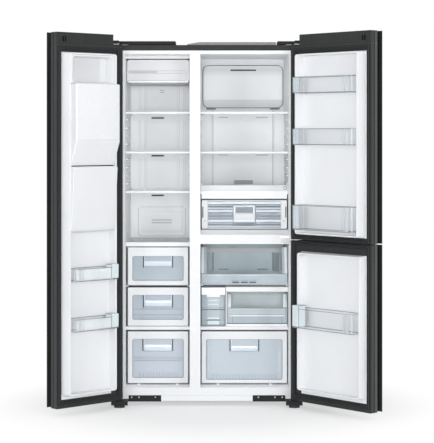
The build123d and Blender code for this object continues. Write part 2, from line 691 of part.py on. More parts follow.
# Bottom hinge: an arm under the door, a flange along the cabinet's foot and a housing for the foot.
bottom_z = (29.0, 33.0)
housing_x = (half_width - 80, half_width)
housing_y = (outer_face + 8, 0.0)
foot_radius = 26.0
foot_at = (half_width - 38, -48.0)
stem_radius = 7.0
foot_pad = 12.0
with BuildPart(cabinet) as bottom_hinges:
    for side in (-1, 1):
        block(mirrored((half_width - bracket_reach, half_width), side), (-3, 0), (20, bottom_z[1]))
        block(mirrored((half_width - bracket_reach, housing_x[0]), side), (-3, 0), (20, 50))
        block(mirrored(housing_x, side), housing_y, bottom_z)
        block(mirrored(housing_x, side), (housing_y[0], housing_y[0] + 3), (14, bottom_z[1]))
        block(mirrored((housing_x[1] - 3, housing_x[1]), side), housing_y, (14, bottom_z[1]))
        upright_cylinder(side * pin_x, pin_y, (bottom_z[1], door_bottom - slide_gap), collar_radius)
        upright_cylinder(side * pin_x, pin_y, (bottom_z[0], door_bottom + pin_length), pin_radius)
bottom_hinges.part.label = "bottom_hinges"
export_step(bottom_hinges.part, "parts/bottom_hinges.step")

with BuildPart(cabinet) as levelling_feet:
    for side in (-1, 1):
        upright_cylinder(side * foot_at[0], foot_at[1], (0, foot_pad), foot_radius)
    fillet(levelling_feet.edges().filter_by(GeomType.CIRCLE).group_by(Axis.Z)[-1], 3)
    for side in (-1, 1):
        upright_cylinder(side * foot_at[0], foot_at[1], (foot_pad, bottom_z[0]), stem_radius)
levelling_feet.part.label = "levelling_feet"
export_step(levelling_feet.part, "parts/levelling_feet.step")

# =====================================================================================================
# Shelves
# =====================================================================================================

divider_plate_x = (fridge_x[0] + 123.5, fridge_x[0] + 128.5)
wide_shelf_height = tray_z[0] - 22.5
wide_shelf_trim = 25.0
bin_shelf_glass = (wide_shelf_height + wide_shelf_trim / 2 - trim_lip - glass,
                   wide_shelf_height + wide_shelf_trim / 2 - trim_lip)


def add_glass(room_x, back, rows):
    """The glass plates of one compartment's shelves, in the open builder."""
    for row in rows:
        top = glass_top(*row)
        block(inset(room_x, shelf_play), (front_line + trim_depth, back), (top - glass, top))


def add_trims(room_x, rows):
    """The moulded trims along the shelves' front edges, in the open builder."""
    for height, trim, _ in rows:
        trim_z = (height - trim / 2, height + trim / 2)
        block(inset(room_x, fit_gap), (front_line, front_line + trim_depth), trim_z)


with BuildPart(cabinet) as freezer_shelves:
    add_glass(freezer_x, freezer_shelf_back, freezer_shelf_rows)
freezer_shelves.part.label = "freezer_shelves"
export_step(freezer_shelves.part, "parts/freezer_shelves.step")

with BuildPart(cabinet) as freezer_shelf_trims:
    add_trims(freezer_x, freezer_shelf_rows)
    fillet(freezer_shelf_trims.edges().filter_by(Axis.X).group_by(Axis.Y)[0], 4)
freezer_shelf_trims.part.label = "freezer_shelf_trims"
export_step(freezer_shelf_trims.part, "parts/freezer_shelf_trims.step")

# The lower fridge room is parted by an upright plate, which carries a short shelf on its right.
with BuildPart(cabinet) as fridge_shelves:
    add_glass(fridge_x, fridge_shelf_back, fridge_shelf_rows)
    short_shelf_x = (divider_plate_x[1] + fit_gap, fridge_x[1] - shelf_play)
    block(short_shelf_x, (front_line + trim_depth, low_back), bin_shelf_glass)
fridge_shelves.part.label = "fridge_shelves"
export_step(fridge_shelves.part, "parts/fridge_shelves.step")

with BuildPart(cabinet) as fridge_shelf_trims:
    add_trims(fridge_x, fridge_shelf_rows)
    wide_trim_z = (wide_shelf_height - wide_shelf_trim / 2, wide_shelf_height + wide_shelf_trim / 2)
    wide_trim_x = (divider_plate_x[1] + fit_gap, fridge_x[1] - fit_gap)
    block(wide_trim_x, (front_line, front_line + trim_depth), wide_trim_z)
    fillet(fridge_shelf_trims.edges().filter_by(Axis.X).group_by(Axis.Y)[0], 4)
    block(divider_plate_x, (front_line + 2, low_back - fit_gap), (bottom_shelf_top + fit_gap, wide_trim_z[1]))
fridge_shelf_trims.part.label = "fridge_shelf_trims"
export_step(fridge_shelf_trims.part, "parts/fridge_shelf_trims.step")

# =====================================================================================================
# Drawers, tray and bins
# =====================================================================================================

window_sink = 3.0
handle_lip = 8.0


def drawer(x, z, back, window_x, window_z, handle_x, handle_z):
    """A drawer: an open tub behind a front plate that has a sunk window and a finger pocket.

    The window's and the handle's heights are measured inwards from the foot and the head of z.
    """
    window_z = (z[0] + window_z[0], z[1] - window_z[1])
    handle_z = (z[1] - handle_z[1] - handle_z[0], z[1] - handle_z[1])
    tub_y = (front_line + front_thickness, back)
    with BuildPart(cabinet) as made:
        block(x, tub_y, z)
        inside = (inset(x, tub_wall), (tub_y[0], tub_y[1] - tub_wall), (z[0] + tub_wall, z[1]))
        block(*inside, mode=Mode.SUBTRACT)
        block(x, (front_line, tub_y[0]), z)
        # the window is sunk in from both faces of the plate, which leaves a thin pane
        block(window_x, (front_line, front_line + window_sink), window_z, mode=Mode.SUBTRACT)
        block(window_x, (front_line + window_sink + tub_wall, tub_y[0]), window_z, mode=Mode.SUBTRACT)
        # the handle box stands in the window, and is hollowed from the front for the fingers
        block(handle_x, (front_line, tub_y[0]), handle_z)
        hollow_z = (handle_z[0] + tub_wall, handle_z[1] - handle_lip)
        block(inset(handle_x, tub_wall), (front_line, tub_y[0] - tub_wall), hollow_z, mode=Mode.SUBTRACT)
        bar_z = (handle_z[0], handle_z[0] + 0.45 * (handle_z[1] - handle_z[0]))
        block(handle_x, (front_line, front_line + tub_wall), bar_z)
    return made


drawer_x = inset(freezer_x, drawer_play)
freezer_drawer_back = duct_front - top_panel_depth - drawer_back_play
short_drawer_back = low_back - drawer_back_play
freezer_window_x = inset(drawer_x, 24)
freezer_handle_x = (freezer_middle - 71, freezer_middle + 79)
middle_drawer_z = (bottom_shelf_top + slide_gap, middle_drawer_top)
bottom_drawer_z = (floor_runner_top + slide_gap, bottom_shelf_height - 14)

freezer_drawer_top = drawer(
    drawer_x, top_drawer_z, freezer_drawer_back, freezer_window_x, (24, 45), freezer_handle_x, (57, 45)
)
freezer_drawer_top.part.label = "freezer_drawer_top"
export_step(freezer_drawer_top.part, "parts/freezer_drawer_top.step")

freezer_drawer_middle = drawer(
    drawer_x, middle_drawer_z, freezer_drawer_back, freezer_window_x, (32, 39), freezer_handle_x, (57, 39)
)
freezer_drawer_middle.part.label = "freezer_drawer_middle"
export_step(freezer_drawer_middle.part, "parts/freezer_drawer_middle.step")

freezer_drawer_bottom = drawer(
    drawer_x, bottom_drawer_z, short_drawer_back, freezer_window_x, (28, 39), freezer_handle_x, (61, 39)
)
freezer_drawer_bottom.part.label = "freezer_drawer_bottom"
export_step(freezer_drawer_bottom.part, "parts/freezer_drawer_bottom.step")

wide_x = inset(fridge_x, drawer_play / 2)
chiller_z = (deck_top + slide_gap, deck_top + 147)
chiller_back = fridge_duct_front - 75
chiller_handle_x = (fridge_middle - 63, fridge_middle + 64)
chiller_drawer = drawer(
    wide_x, chiller_z, chiller_back, inset(wide_x, 32.5), (8.7, 8), chiller_handle_x, (103, 22)
)
chiller_drawer.part.label = "chiller_drawer"
export_step(chiller_drawer.part, "parts/chiller_drawer.step")

crisper_handle_x = (fridge_middle - 74, fridge_middle + 73)
crisper_drawer = drawer(
    wide_x, bottom_drawer_z, short_drawer_back, inset(wide_x, 24), (19, 41), crisper_handle_x, (62, 41)
)
crisper_drawer.part.label = "crisper_drawer"
export_step(crisper_drawer.part, "parts/crisper_drawer.step")

# Clear tray with a low front and high sides that slope up behind it.
tray_front_z = tray_z[0] + 55
tray_slope = 60.0
tray_back = fridge_duct_front - drawer_back_play
finger_slots = (-42.0, 0.0, 42.0)
slot_half = 17.0
slot_z = (tray_z[0] + 11, tray_z[0] + 19)
with BuildPart(cabinet) as sliding_tray:
    tray_profile = [
        (front_line, tray_z[0]),
        (tray_back, tray_z[0]),
        (tray_back, tray_z[1]),
        (front_line + tray_slope, tray_z[1]),
        (front_line + 8, tray_front_z),
        (front_line, tray_front_z),
    ]
    side_profile(cabinet, wide_x, tray_profile)
    tray_hollow_y = inset((front_line, tray_back), tub_wall)
    block(inset(wide_x, tub_wall), tray_hollow_y, (tray_z[0] + tub_wall, tray_z[1]), mode=Mode.SUBTRACT)
    for slot in finger_slots:
        middle = (wide_x[0] + wide_x[1]) / 2 + slot
        slot_x = (middle - slot_half, middle + slot_half)
        block(slot_x, (front_line, front_line + tub_wall), slot_z, mode=Mode.SUBTRACT)
sliding_tray.part.label = "sliding_tray"
export_step(sliding_tray.part, "parts/sliding_tray.step")

# Two bins stand side by side on the bottom shelf, one each side of the upright plate.
bin_clearance = 1.0
bin_back = low_back - drawer_back_play
small_bin_x = (wide_x[0], divider_plate_x[0] - bin_clearance)
small_bin_z = (bottom_shelf_top + slide_gap, tray_z[0] - 13)
grip_z = (small_bin_z[1] - 32, small_bin_z[1])
with BuildPart(cabinet) as small_bin:
    block(small_bin_x, (front_line + 12, bin_back), small_bin_z)
    block(small_bin_x, (front_line, front_line + 12), grip_z)
    hollow_y = (front_line + 12 + tub_wall, bin_back - tub_wall)
    hollow_x = inset(small_bin_x, tub_wall)
    block(hollow_x, hollow_y, (small_bin_z[0] + tub_wall, small_bin_z[1]), mode=Mode.SUBTRACT)
    # the grip is a hood that the fingers reach under
    hood_y = (front_line + tub_wall, front_line + 12)
    block(hollow_x, hood_y, (grip_z[0], grip_z[1] - 3), mode=Mode.SUBTRACT)
small_bin.part.label = "small_bin"
export_step(small_bin.part, "parts/small_bin.step")

wide_bin_x = (divider_plate_x[1] + bin_clearance, wide_x[1])
wide_bin_front_z = wide_shelf_height - 89.5
wide_bin_side_z = wide_shelf_height - 24.5
with BuildPart(cabinet) as wide_bin:
    bin_profile = [
        (front_line, small_bin_z[0]),
        (bin_back, small_bin_z[0]),
        (bin_back, wide_bin_side_z),
        (front_line + 50, wide_bin_side_z),
        (front_line + 8, wide_bin_front_z),
        (front_line, wide_bin_front_z),
    ]
    side_profile(cabinet, wide_bin_x, bin_profile)
    hollow_y = inset((front_line, bin_back), tub_wall)
    hollow_z = (small_bin_z[0] + tub_wall, wide_bin_side_z)
    block(inset(wide_bin_x, tub_wall), hollow_y, hollow_z, mode=Mode.SUBTRACT)
wide_bin.part.label = "wide_bin"
export_step(wide_bin.part, "parts/wide_bin.step")

# =====================================================================================================
# Doors
# =====================================================================================================


@dataclass
class Door:
    """One door: where its hinge edge is, which way it reaches, and how high its parts are."""

    frame: Plane
    hinge_x: float           # outside edge at the hinges
    side: int                # 1 when the door reaches to the right of its hinges, else -1
    width: float
    z: tuple
    liner_z: tuple
    gasket_z: tuple
    ridge: float             # height of the liner's ring
    ridge_z: tuple
    flange: float            # flat of the liner beside the ring, along the free edge
    top_hinge: bool

    def at(self, distance):
        """X value of a distance from the hinge edge."""
        return self.hinge_x + self.side * distance

    def span(self, first, last):
        """X values of two distances from the hinge edge, the lower first."""
        return tuple(sorted((self.at(first), self.at(last))))


liner_top = opening_top - 4
ridge_play = 4.0           # a shut door's ring stays this far from the cabinet's faces
gasket_top = 1728.0
gasket_bottom = 52.0
low_door_head = 50.0       # dark strip over the lower door's liner
high_door_foot = 26.0      # dark strip under the upper door's liner
right_width = half_width - right_free_x

left_door = Door(
    turned_frame(-pin_x, -left_open), -half_width, 1, left_door_width,
    z=(door_bottom, door_top), liner_z=(door_bottom + foot_height, liner_top),
    gasket_z=(gasket_bottom, gasket_top), ridge=ridge_height,
    ridge_z=(opening_bottom + ridge_play, liner_top), flange=0.0, top_hinge=True,
)
upper_door = Door(
    turned_frame(pin_x, right_open), half_width, -1, right_width,
    z=(upper_door_bottom, door_top), liner_z=(upper_door_bottom + high_door_foot, liner_top),
    gasket_z=(upper_door_bottom + 3, gasket_top), ridge=ridge_height,
    ridge_z=(upper_door_bottom + high_door_foot, liner_top), flange=5.0, top_hinge=True,
)
lower_door = Door(
    turned_frame(pin_x, right_open), half_width, -1, right_width,
    z=(door_bottom, split_height), liner_z=(door_bottom + foot_height, split_height - low_door_head),
    gasket_z=(gasket_bottom, split_height - 4), ridge=low_ridge_height,
    ridge_z=(opening_bottom + ridge_play, split_height - low_door_head), flange=5.0, top_hinge=False,
)


def hinge_seats(door, radius, mode):
    """The round seats of a door's upper and lower hinge pins."""
    top = notch_floor if door.top_hinge else door.z[1]
    depth = pin_length + 4
    upright_cylinder(door.at(pin_inset), pin_y, (top - depth, top), radius, mode=mode)
    upright_cylinder(door.at(pin_inset), pin_y, (door.z[0], door.z[0] + depth), radius, mode=mode)


def corner_arc(door, radius):
    """The round of the door's edge beside the hinges, from its side to its front."""
    bend_y = outer_face + corner_radius
    reach = radius * cos(radians(45))
    ThreePointArc(
        (door.at(corner_radius - radius), bend_y),
        (door.at(corner_radius - reach), bend_y - reach),
        (door.at(corner_radius), bend_y - radius),
    )


def door_core(frame, door, wall):
    """The door behind its front panel, drawn a wall's thickness under its surface."""
    bend_y = outer_face + corner_radius
    grip_x = door.width - grip_depth - wall
    grip_back = panel_back + grip_width + wall
    with BuildSketch(frame.offset(door.z[0] + wall)) as plan:
        with BuildLine():
            corner_arc(door, corner_radius - panel_thickness)
            Polyline(
                (door.at(corner_radius), panel_back),
                (door.at(grip_x), panel_back),
                (door.at(grip_x), grip_back),
                (door.at(door.width - wall), grip_back),
                (door.at(door.width - wall), inner_face - wall),
                (door.at(wall), inner_face - wall),
                (door.at(wall), bend_y),
                (door.at(panel_thickness), bend_y),
            )
        make_face()
    extrude(plan.sketch, amount=door.z[1] - door.z[0] - 2 * wall)
    if door.top_hinge:
        notch = door.span(0, notch_width + wall)
        block(notch, (panel_back, inner_face), (notch_floor - wall, door.z[1]), mode=Mode.SUBTRACT)


def ridge_form(frame, door, skin):
    """The raised ring of the liner, drawn a skin's thickness under its surface."""
    foot_y = inner_face - liner_wall
    crest_y = inner_face + door.ridge - skin
    foot = door.span(hinge_strip + skin, door.width - free_strip - door.flange - skin)
    crest = door.span(hinge_strip + ridge_slope_end + skin, door.width - free_strip - ridge_slope - skin)
    foot_z = inset(door.ridge_z, skin)
    crest_z = inset(door.ridge_z, ridge_slope_end + skin)
    outlines = []
    for y, x, z in ((foot_y, foot, foot_z), (crest_y, crest, crest_z)):
        with BuildSketch(facing_front(frame, y)) as outline:
            with Locations(((x[0] + x[1]) / 2, (z[0] + z[1]) / 2)):
                RectangleRounded(x[1] - x[0], z[1] - z[0], 12)
        outlines.append(outline.sketch)
    loft(outlines)
    hollow_x = door.span(hinge_strip + ridge_hinge - skin, door.width - free_strip - ridge_free + skin)
    hollow_floor = inner_face if skin == 0 else foot_y
    block(hollow_x, (hollow_floor, crest_y + 5), inset(door.ridge_z, ridge_end - skin), mode=Mode.SUBTRACT)


def make_frame(door):
    """Caps and side mouldings around the door, with its dark inner face, and seats for the pins."""
    with BuildPart() as filling:
        door_core(Plane.XY, door, frame_wall)
    liner_x = door.span(hinge_strip, door.width - free_strip)
    lower_seam = door.liner_z[0] - seam
    with BuildPart(door.frame) as made:
        door_core(door.frame, door, 0)
        add(filling.part, mode=Mode.SUBTRACT)
        block(liner_x, (inner_face - frame_wall, inner_face), door.liner_z, mode=Mode.SUBTRACT)
        for height in (door.z[1] - cap_height, lower_seam):
            seam_z = (height, height + seam)
            block(door.span(0, door.width), (panel_back, inner_face), seam_z, mode=Mode.SUBTRACT)
        hinge_seats(door, boss_radius, Mode.ADD)
        hinge_seats(door, pin_radius + pin_play, Mode.SUBTRACT)
    return made


def make_foam(door):
    """The foam that fills the door and the liner's raised ring."""
    with BuildPart() as ring:
        ridge_form(Plane.XY, door, liner_wall)
    liner_x = door.span(hinge_strip, door.width - free_strip)
    with BuildPart(door.frame) as made:
        door_core(door.frame, door, frame_wall)
        block(liner_x, (inner_face - frame_wall, inner_face - liner_wall), door.liner_z)
        add(ring.part)
        hinge_seats(door, boss_radius, Mode.SUBTRACT)
    return made


def make_liner(door):
    """The thin moulded liner on the door's inside: a flat sheet with a raised ring."""
    with BuildPart() as under:
        ridge_form(Plane.XY, door, liner_wall)
    with BuildPart(door.frame) as made:
        liner_x = door.span(hinge_strip, door.width - free_strip)
        block(liner_x, (inner_face - liner_wall, inner_face), door.liner_z)
        ridge_form(door.frame, door, 0)
        add(under.part, mode=Mode.SUBTRACT)
    return made


def make_gasket(door):
    """The magnetic seal around the door's inner face."""
    outer = door.span(gasket_hinge, door.width - gasket_free)
    gasket_y = (inner_face, -gasket_gap)
    with BuildPart(door.frame) as made:
        block(outer, gasket_y, door.gasket_z)
        block(inset(outer, gasket_width), gasket_y, inset(door.gasket_z, gasket_width), mode=Mode.SUBTRACT)
    return made


def make_panel(door, hole_x=None, hole_z=None):
    """The front of the door, bent back beside the hinges, with a hole where the door has a recess."""
    with BuildPart(door.frame) as made:
        with BuildSketch(door.frame.offset(door.z[0])) as plan:
            with BuildLine():
                corner_arc(door, corner_radius)
                Polyline(
                    (door.at(corner_radius), outer_face),
                    (door.at(door.width), outer_face),
                    (door.at(door.width), panel_back),
                    (door.at(corner_radius), panel_back),
                )
                corner_arc(door, corner_radius - panel_thickness)
                bend_y = outer_face + corner_radius
                Line((door.at(panel_thickness), bend_y), (door.at(0), bend_y))
            make_face()
        extrude(plan.sketch, amount=door.z[1] - door.z[0])
        if door.top_hinge:
            notch_z = (notch_floor, door.z[1])
            block(door.span(0, corner_radius), (outer_face, inner_face), notch_z, mode=Mode.SUBTRACT)
        if hole_x:
            block(hole_x, (outer_face, panel_back), hole_z, mode=Mode.SUBTRACT)
    return made


def make_bins(door, heights):
    """Clear bins held between the sides of the liner's ring. Each leans out a little towards its rim."""
    bin_x = door.span(hinge_strip + ridge_hinge + bin_play, door.width - free_strip - ridge_free - bin_play)
    back = inner_face + slide_gap
    foot_front = bin_front - 8
    with BuildPart(door.frame) as made:
        for low, high in heights:
            side_profile(door.frame, bin_x, [(back, low), (foot_front, low), (bin_front, high), (back, high)])
            hollow = [
                (back + bin_wall, low + bin_wall),
                (foot_front - bin_wall, low + bin_wall),
                (bin_front - bin_wall, high + 1),
                (back + bin_wall, high + 1),
            ]
            side_profile(door.frame, inset(bin_x, bin_wall), hollow, mode=Mode.SUBTRACT)
    return made


# ---- Left door, with its dispenser ----
recess_x = left_door.span(95, 295)
recess_z = (960.0, 1290.0)
recess_depth = 58.0
recess_wall = 2.0
recess_y = (outer_face, outer_face + recess_depth)
paddle_x = inset(recess_x, 80)
paddle_foot = 1105.0
paddle_y = recess_y[1] - 22
spout_z = (recess_z[1] - 56, recess_z[1])
paddle_pin_z = spout_z[0] - 12
paddle_pin_radius = 3.0

left_door_panel = make_panel(left_door, recess_x, recess_z)
left_door_panel.part.label = "left_door_panel"
export_step(left_door_panel.part, "parts/left_door_panel.step")

left_door_frame = make_frame(left_door)
left_door_frame.part.label = "left_door_frame"
export_step(left_door_frame.part, "parts/left_door_frame.step")

# The foam stays clear of the recess.
with BuildPart() as recess_room:
    block(recess_x, (outer_face, recess_y[1]), recess_z)
with BuildPart() as left_ring:
    ridge_form(Plane.XY, left_door, liner_wall)
with BuildPart(left_door.frame) as left_door_foam:
    door_core(left_door.frame, left_door, frame_wall)
    left_liner_x = left_door.span(hinge_strip, left_door.width - free_strip)
    block(left_liner_x, (inner_face - frame_wall, inner_face - liner_wall), left_door.liner_z)
    add(left_ring.part)
    hinge_seats(left_door, boss_radius, Mode.SUBTRACT)
    add(recess_room.part, mode=Mode.SUBTRACT)
left_door_foam.part.label = "left_door_foam"
export_step(left_door_foam.part, "parts/left_door_foam.step")

left_door_liner = make_liner(left_door)
left_door_liner.part.label = "left_door_liner"
export_step(left_door_liner.part, "parts/left_door_liner.step")

left_door_gasket = make_gasket(left_door)
left_door_gasket.part.label = "left_door_gasket"
export_step(left_door_gasket.part, "parts/left_door_gasket.step")

left_door_bins = make_bins(left_door, [(629.0, 701.0), (396.0, 466.0)])
left_door_bins.part.label = "left_door_bins"
export_step(left_door_bins.part, "parts/left_door_bins.step")

# Housing of the ice and water dispenser, on the inside of the door.
housing_z = (1166.0, 1281.0, 1554.0)     # foot, end of the taper, top
housing_reach = bin_front + 10
housing_span = left_door.span(
    hinge_strip + ridge_hinge + bin_play, left_door.width - free_strip - ridge_free - bin_play
)
housing_wall = 2.5


def housing_profile(wall):
    """Side view of the dispenser housing, a wall's thickness under its surface."""
    return [
        (inner_face + slide_gap, housing_z[0] + wall),
        (inner_face + 45, housing_z[0] + wall),
        (housing_reach - wall, housing_z[1]),
        (housing_reach - wall, housing_z[2] - wall),
        (inner_face + slide_gap, housing_z[2] - wall),
    ]


# Under the housing the liner bulges over the recess in the door's front.
bulge_z = (857.0, housing_z[0] - fit_gap)
bulge_reach = (42.0, 62.0)     # at its foot and at its head
bulge_profile = [
    (inner_face + slide_gap, bulge_z[0]),
    (bulge_reach[0] - 12, bulge_z[0]),
    (bulge_reach[0], bulge_z[0] + 12),
    (bulge_reach[1], bulge_z[1]),
    (inner_face + slide_gap, bulge_z[1]),
]
with BuildPart(left_door.frame) as dispenser_housing:
    side_profile(left_door.frame, housing_span, housing_profile(0))
    fillet(dispenser_housing.edges().filter_by(Axis.Z), 12)
    side_profile(left_door.frame, inset(housing_span, housing_wall), housing_profile(housing_wall),
                 mode=Mode.SUBTRACT)
    side_profile(left_door.frame, housing_span, bulge_profile)
dispenser_housing.part.label = "dispenser_housing"
export_step(dispenser_housing.part, "parts/dispenser_housing.step")

# Recess on the outside of the door, with the spout block and two ears for the paddle's pins.
ear_y = (paddle_y - 6, recess_y[1])
with BuildPart(left_door.frame) as dispenser_recess:
    block(recess_x, recess_y, recess_z)
    recess_hollow_y = (recess_y[0], recess_y[1] - recess_wall)
    block(inset(recess_x, recess_wall), recess_hollow_y, inset(recess_z, recess_wall), mode=Mode.SUBTRACT)
    block((paddle_x[0] - 12, paddle_x[1] + 12), (recess_y[0] + 8, recess_y[1]), spout_z)
    for ear in ((paddle_x[0] - 6, paddle_x[0] - 1), (paddle_x[1] + 1, paddle_x[1] + 6)):
        block(ear, ear_y, (paddle_pin_z - 7, spout_z[0]))
    with BuildSketch(facing_side(left_door.frame, paddle_x[0] - 7)):
        with Locations((paddle_y, paddle_pin_z)):
            Circle(paddle_pin_radius + pin_play)
    extrude(amount=paddle_x[1] - paddle_x[0] + 14, mode=Mode.SUBTRACT)
dispenser_recess.part.label = "dispenser_recess"
export_step(dispenser_recess.part, "parts/dispenser_recess.step")

with BuildPart(left_door.frame) as dispenser_paddle:
    block(paddle_x, (paddle_y - 2, paddle_y + 2), (paddle_foot, paddle_pin_z))
    for y, radius, ends in ((paddle_y, 5.0, 0.0), (paddle_y, paddle_pin_radius, 5.5)):
        with BuildSketch(facing_side(left_door.frame, paddle_x[0] - ends)):
            with Locations((y, paddle_pin_z)):
                Circle(radius)
        extrude(amount=paddle_x[1] - paddle_x[0] + 2 * ends)
dispenser_paddle.part.label = "dispenser_paddle"
export_step(dispenser_paddle.part, "parts/dispenser_paddle.step")

# ---- Upper right door ----
upper_door_panel = make_panel(upper_door)
upper_door_panel.part.label = "upper_door_panel"
export_step(upper_door_panel.part, "parts/upper_door_panel.step")

upper_door_frame = make_frame(upper_door)
upper_door_frame.part.label = "upper_door_frame"
export_step(upper_door_frame.part, "parts/upper_door_frame.step")

upper_door_foam = make_foam(upper_door)
upper_door_foam.part.label = "upper_door_foam"
export_step(upper_door_foam.part, "parts/upper_door_foam.step")

upper_door_liner = make_liner(upper_door)
upper_door_liner.part.label = "upper_door_liner"
export_step(upper_door_liner.part, "parts/upper_door_liner.step")

upper_door_gasket = make_gasket(upper_door)
upper_door_gasket.part.label = "upper_door_gasket"
export_step(upper_door_gasket.part, "parts/upper_door_gasket.step")

low_bin_z = (upper_door_bottom + 53, upper_door_bottom + 170)
upper_door_bins = make_bins(upper_door, [(1511.0, 1589.0), (1266.0, 1344.0), low_bin_z])
upper_door_bins.part.label = "upper_door_bins"
export_step(upper_door_bins.part, "parts/upper_door_bins.step")

# ---- Lower right door ----
lower_door_panel = make_panel(lower_door)
lower_door_panel.part.label = "lower_door_panel"
export_step(lower_door_panel.part, "parts/lower_door_panel.step")

lower_door_frame = make_frame(lower_door)
lower_door_frame.part.label = "lower_door_frame"
export_step(lower_door_frame.part, "parts/lower_door_frame.step")

lower_door_foam = make_foam(lower_door)
lower_door_foam.part.label = "lower_door_foam"
export_step(lower_door_foam.part, "parts/lower_door_foam.step")

lower_door_liner = make_liner(lower_door)
lower_door_liner.part.label = "lower_door_liner"
export_step(lower_door_liner.part, "parts/lower_door_liner.step")

lower_door_gasket = make_gasket(lower_door)
lower_door_gasket.part.label = "lower_door_gasket"
export_step(lower_door_gasket.part, "parts/lower_door_gasket.step")

lower_door_bin = make_bins(lower_door, [(398.0, 505.0)])
lower_door_bin.part.label = "lower_door_bin"
export_step(lower_door_bin.part, "parts/lower_door_bin.step")
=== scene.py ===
import json
import math

import bmesh
import bpy
from bpy.props import FloatProperty, FloatVectorProperty, IntProperty, PointerProperty
from mathutils import Euler, Matrix, Vector

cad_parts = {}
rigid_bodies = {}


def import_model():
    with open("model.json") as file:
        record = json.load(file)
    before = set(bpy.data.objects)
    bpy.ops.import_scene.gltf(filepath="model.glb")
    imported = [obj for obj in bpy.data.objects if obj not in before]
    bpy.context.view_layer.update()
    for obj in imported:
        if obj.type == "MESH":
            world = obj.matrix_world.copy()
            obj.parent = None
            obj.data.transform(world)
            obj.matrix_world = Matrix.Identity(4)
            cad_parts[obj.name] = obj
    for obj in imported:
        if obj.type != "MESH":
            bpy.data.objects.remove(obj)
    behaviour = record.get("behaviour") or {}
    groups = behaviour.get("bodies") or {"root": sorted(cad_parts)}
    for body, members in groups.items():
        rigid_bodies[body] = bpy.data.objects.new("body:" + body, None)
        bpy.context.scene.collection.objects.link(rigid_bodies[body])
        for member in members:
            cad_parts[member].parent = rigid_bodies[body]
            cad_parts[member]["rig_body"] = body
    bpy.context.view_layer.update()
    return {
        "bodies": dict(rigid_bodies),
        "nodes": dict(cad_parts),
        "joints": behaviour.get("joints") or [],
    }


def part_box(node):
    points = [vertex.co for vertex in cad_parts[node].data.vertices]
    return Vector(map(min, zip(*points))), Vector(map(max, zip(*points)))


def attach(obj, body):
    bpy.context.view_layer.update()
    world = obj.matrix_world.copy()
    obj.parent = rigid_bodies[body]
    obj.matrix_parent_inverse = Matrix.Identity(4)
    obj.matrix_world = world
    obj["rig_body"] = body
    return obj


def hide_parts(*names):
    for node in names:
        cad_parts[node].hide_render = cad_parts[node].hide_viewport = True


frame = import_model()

bl_info = {
    "name": "Side by side refrigerator",
    "version": (1, 0, 0),
    "blender": (4, 5, 0),
    "location": "View3D > Sidebar > Refrigerator",
    "description": "Dresses the refrigerator's solid model with its detailed pieces and finishes",
    "category": "Object",
}

# Lengths in the pieces below are millimetres, measured as if every door were shut: X to the right from
# the cabinet's middle, Y to the back from its face, Z up from the floor. PLACE brings them to metres,
# each on its own body, with the doors where they stand.
MM = 0.001
panel_low, panel_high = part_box("back_panel")
CABINET = Matrix.Translation(((panel_low.x + panel_high.x) / 2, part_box("front_frame")[0].y, 0.0))
CABINET = CABINET @ Matrix.Scale(MM, 4)


def opened(body):
    """The turn that takes a shut door to where it stands."""
    for joint in frame["joints"]:
        if joint["child"] == body:
            pin = Matrix.Translation(joint["pos_m"])
            angle = -math.radians(joint["range_deg"][0])
            return pin @ Matrix.Rotation(angle, 4, Vector(joint["axis"])) @ pin.inverted()
    raise ValueError("no joint turns " + body)


DOORS = ("left_door", "upper_door", "lower_door")
PLACE = {body: CABINET for body in frame["bodies"]}
for door_body in DOORS:
    PLACE[door_body] = opened(door_body) @ CABINET
PLACE["paddle"] = PLACE["left_door"]


def corners(spots):
    """Lowest and highest corner of some points."""
    low = Vector([min(spot[i] for spot in spots) for i in range(3)])
    high = Vector([max(spot[i] for spot in spots) for i in range(3)])
    return low, high


def spans(low, high):
    """The three pairs of values between two corners."""
    return tuple((low[i], high[i]) for i in range(3))


def size_of(node):
    """X, Y and Z spans of a solid, in millimetres with its door shut."""
    piece = frame["nodes"][node]
    back = PLACE[piece["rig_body"]].inverted()
    return spans(*corners([back @ vertex.co for vertex in piece.data.vertices]))


def parts_of(node):
    """X, Y and Z spans of each separate solid in a node, the highest first."""
    piece = frame["nodes"][node]
    back = PLACE[piece["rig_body"]].inverted()
    joined = bmesh.new()
    joined.from_mesh(piece.data)
    bmesh.ops.remove_doubles(joined, verts=joined.verts, dist=2e-6)
    joined.verts.ensure_lookup_table()
    seen = set()
    found = []
    for start in joined.verts:
        if start.index in seen:
            continue
        seen.add(start.index)
        queue, island = [start], []
        while queue:
            vertex = queue.pop()
            island.append(back @ vertex.co)
            for edge in vertex.link_edges:
                other = edge.other_vert(vertex)
                if other.index not in seen:
                    seen.add(other.index)
                    queue.append(other)
        found.append(spans(*corners(island)))
    joined.free()
    return sorted(found, key=lambda part: -part[2][1])


def wide_parts(node, width):
    """The separate solids of a node that are wider than that, the highest first."""
    return [part for part in parts_of(node) if part[0][1] - part[0][0] > width]


def inset(span, amount):
    """A pair of values, each drawn in by an amount."""
    return (span[0] + amount, span[1] - amount)


def middle(span):
    """The value half way between two."""
    return (span[0] + span[1]) / 2


def about(place, half):
    """The span that reaches as far to each side of a place."""
    return (place - half, place + half)


def beside(edge, way, near, far):
    """The span between two distances from an edge, on the side that way (1 or -1) points to."""
    return tuple(sorted((edge + way * near, edge + way * far)))


def drawn(u, v, *rows):
    """Rings for a loft that follow one rectangle: each row is how far in, corner radius and place."""
    return [(inset(u, inward), inset(v, inward), radius, place) for inward, radius, place in rows]


# ---- Sizes and colours that a user would change ----


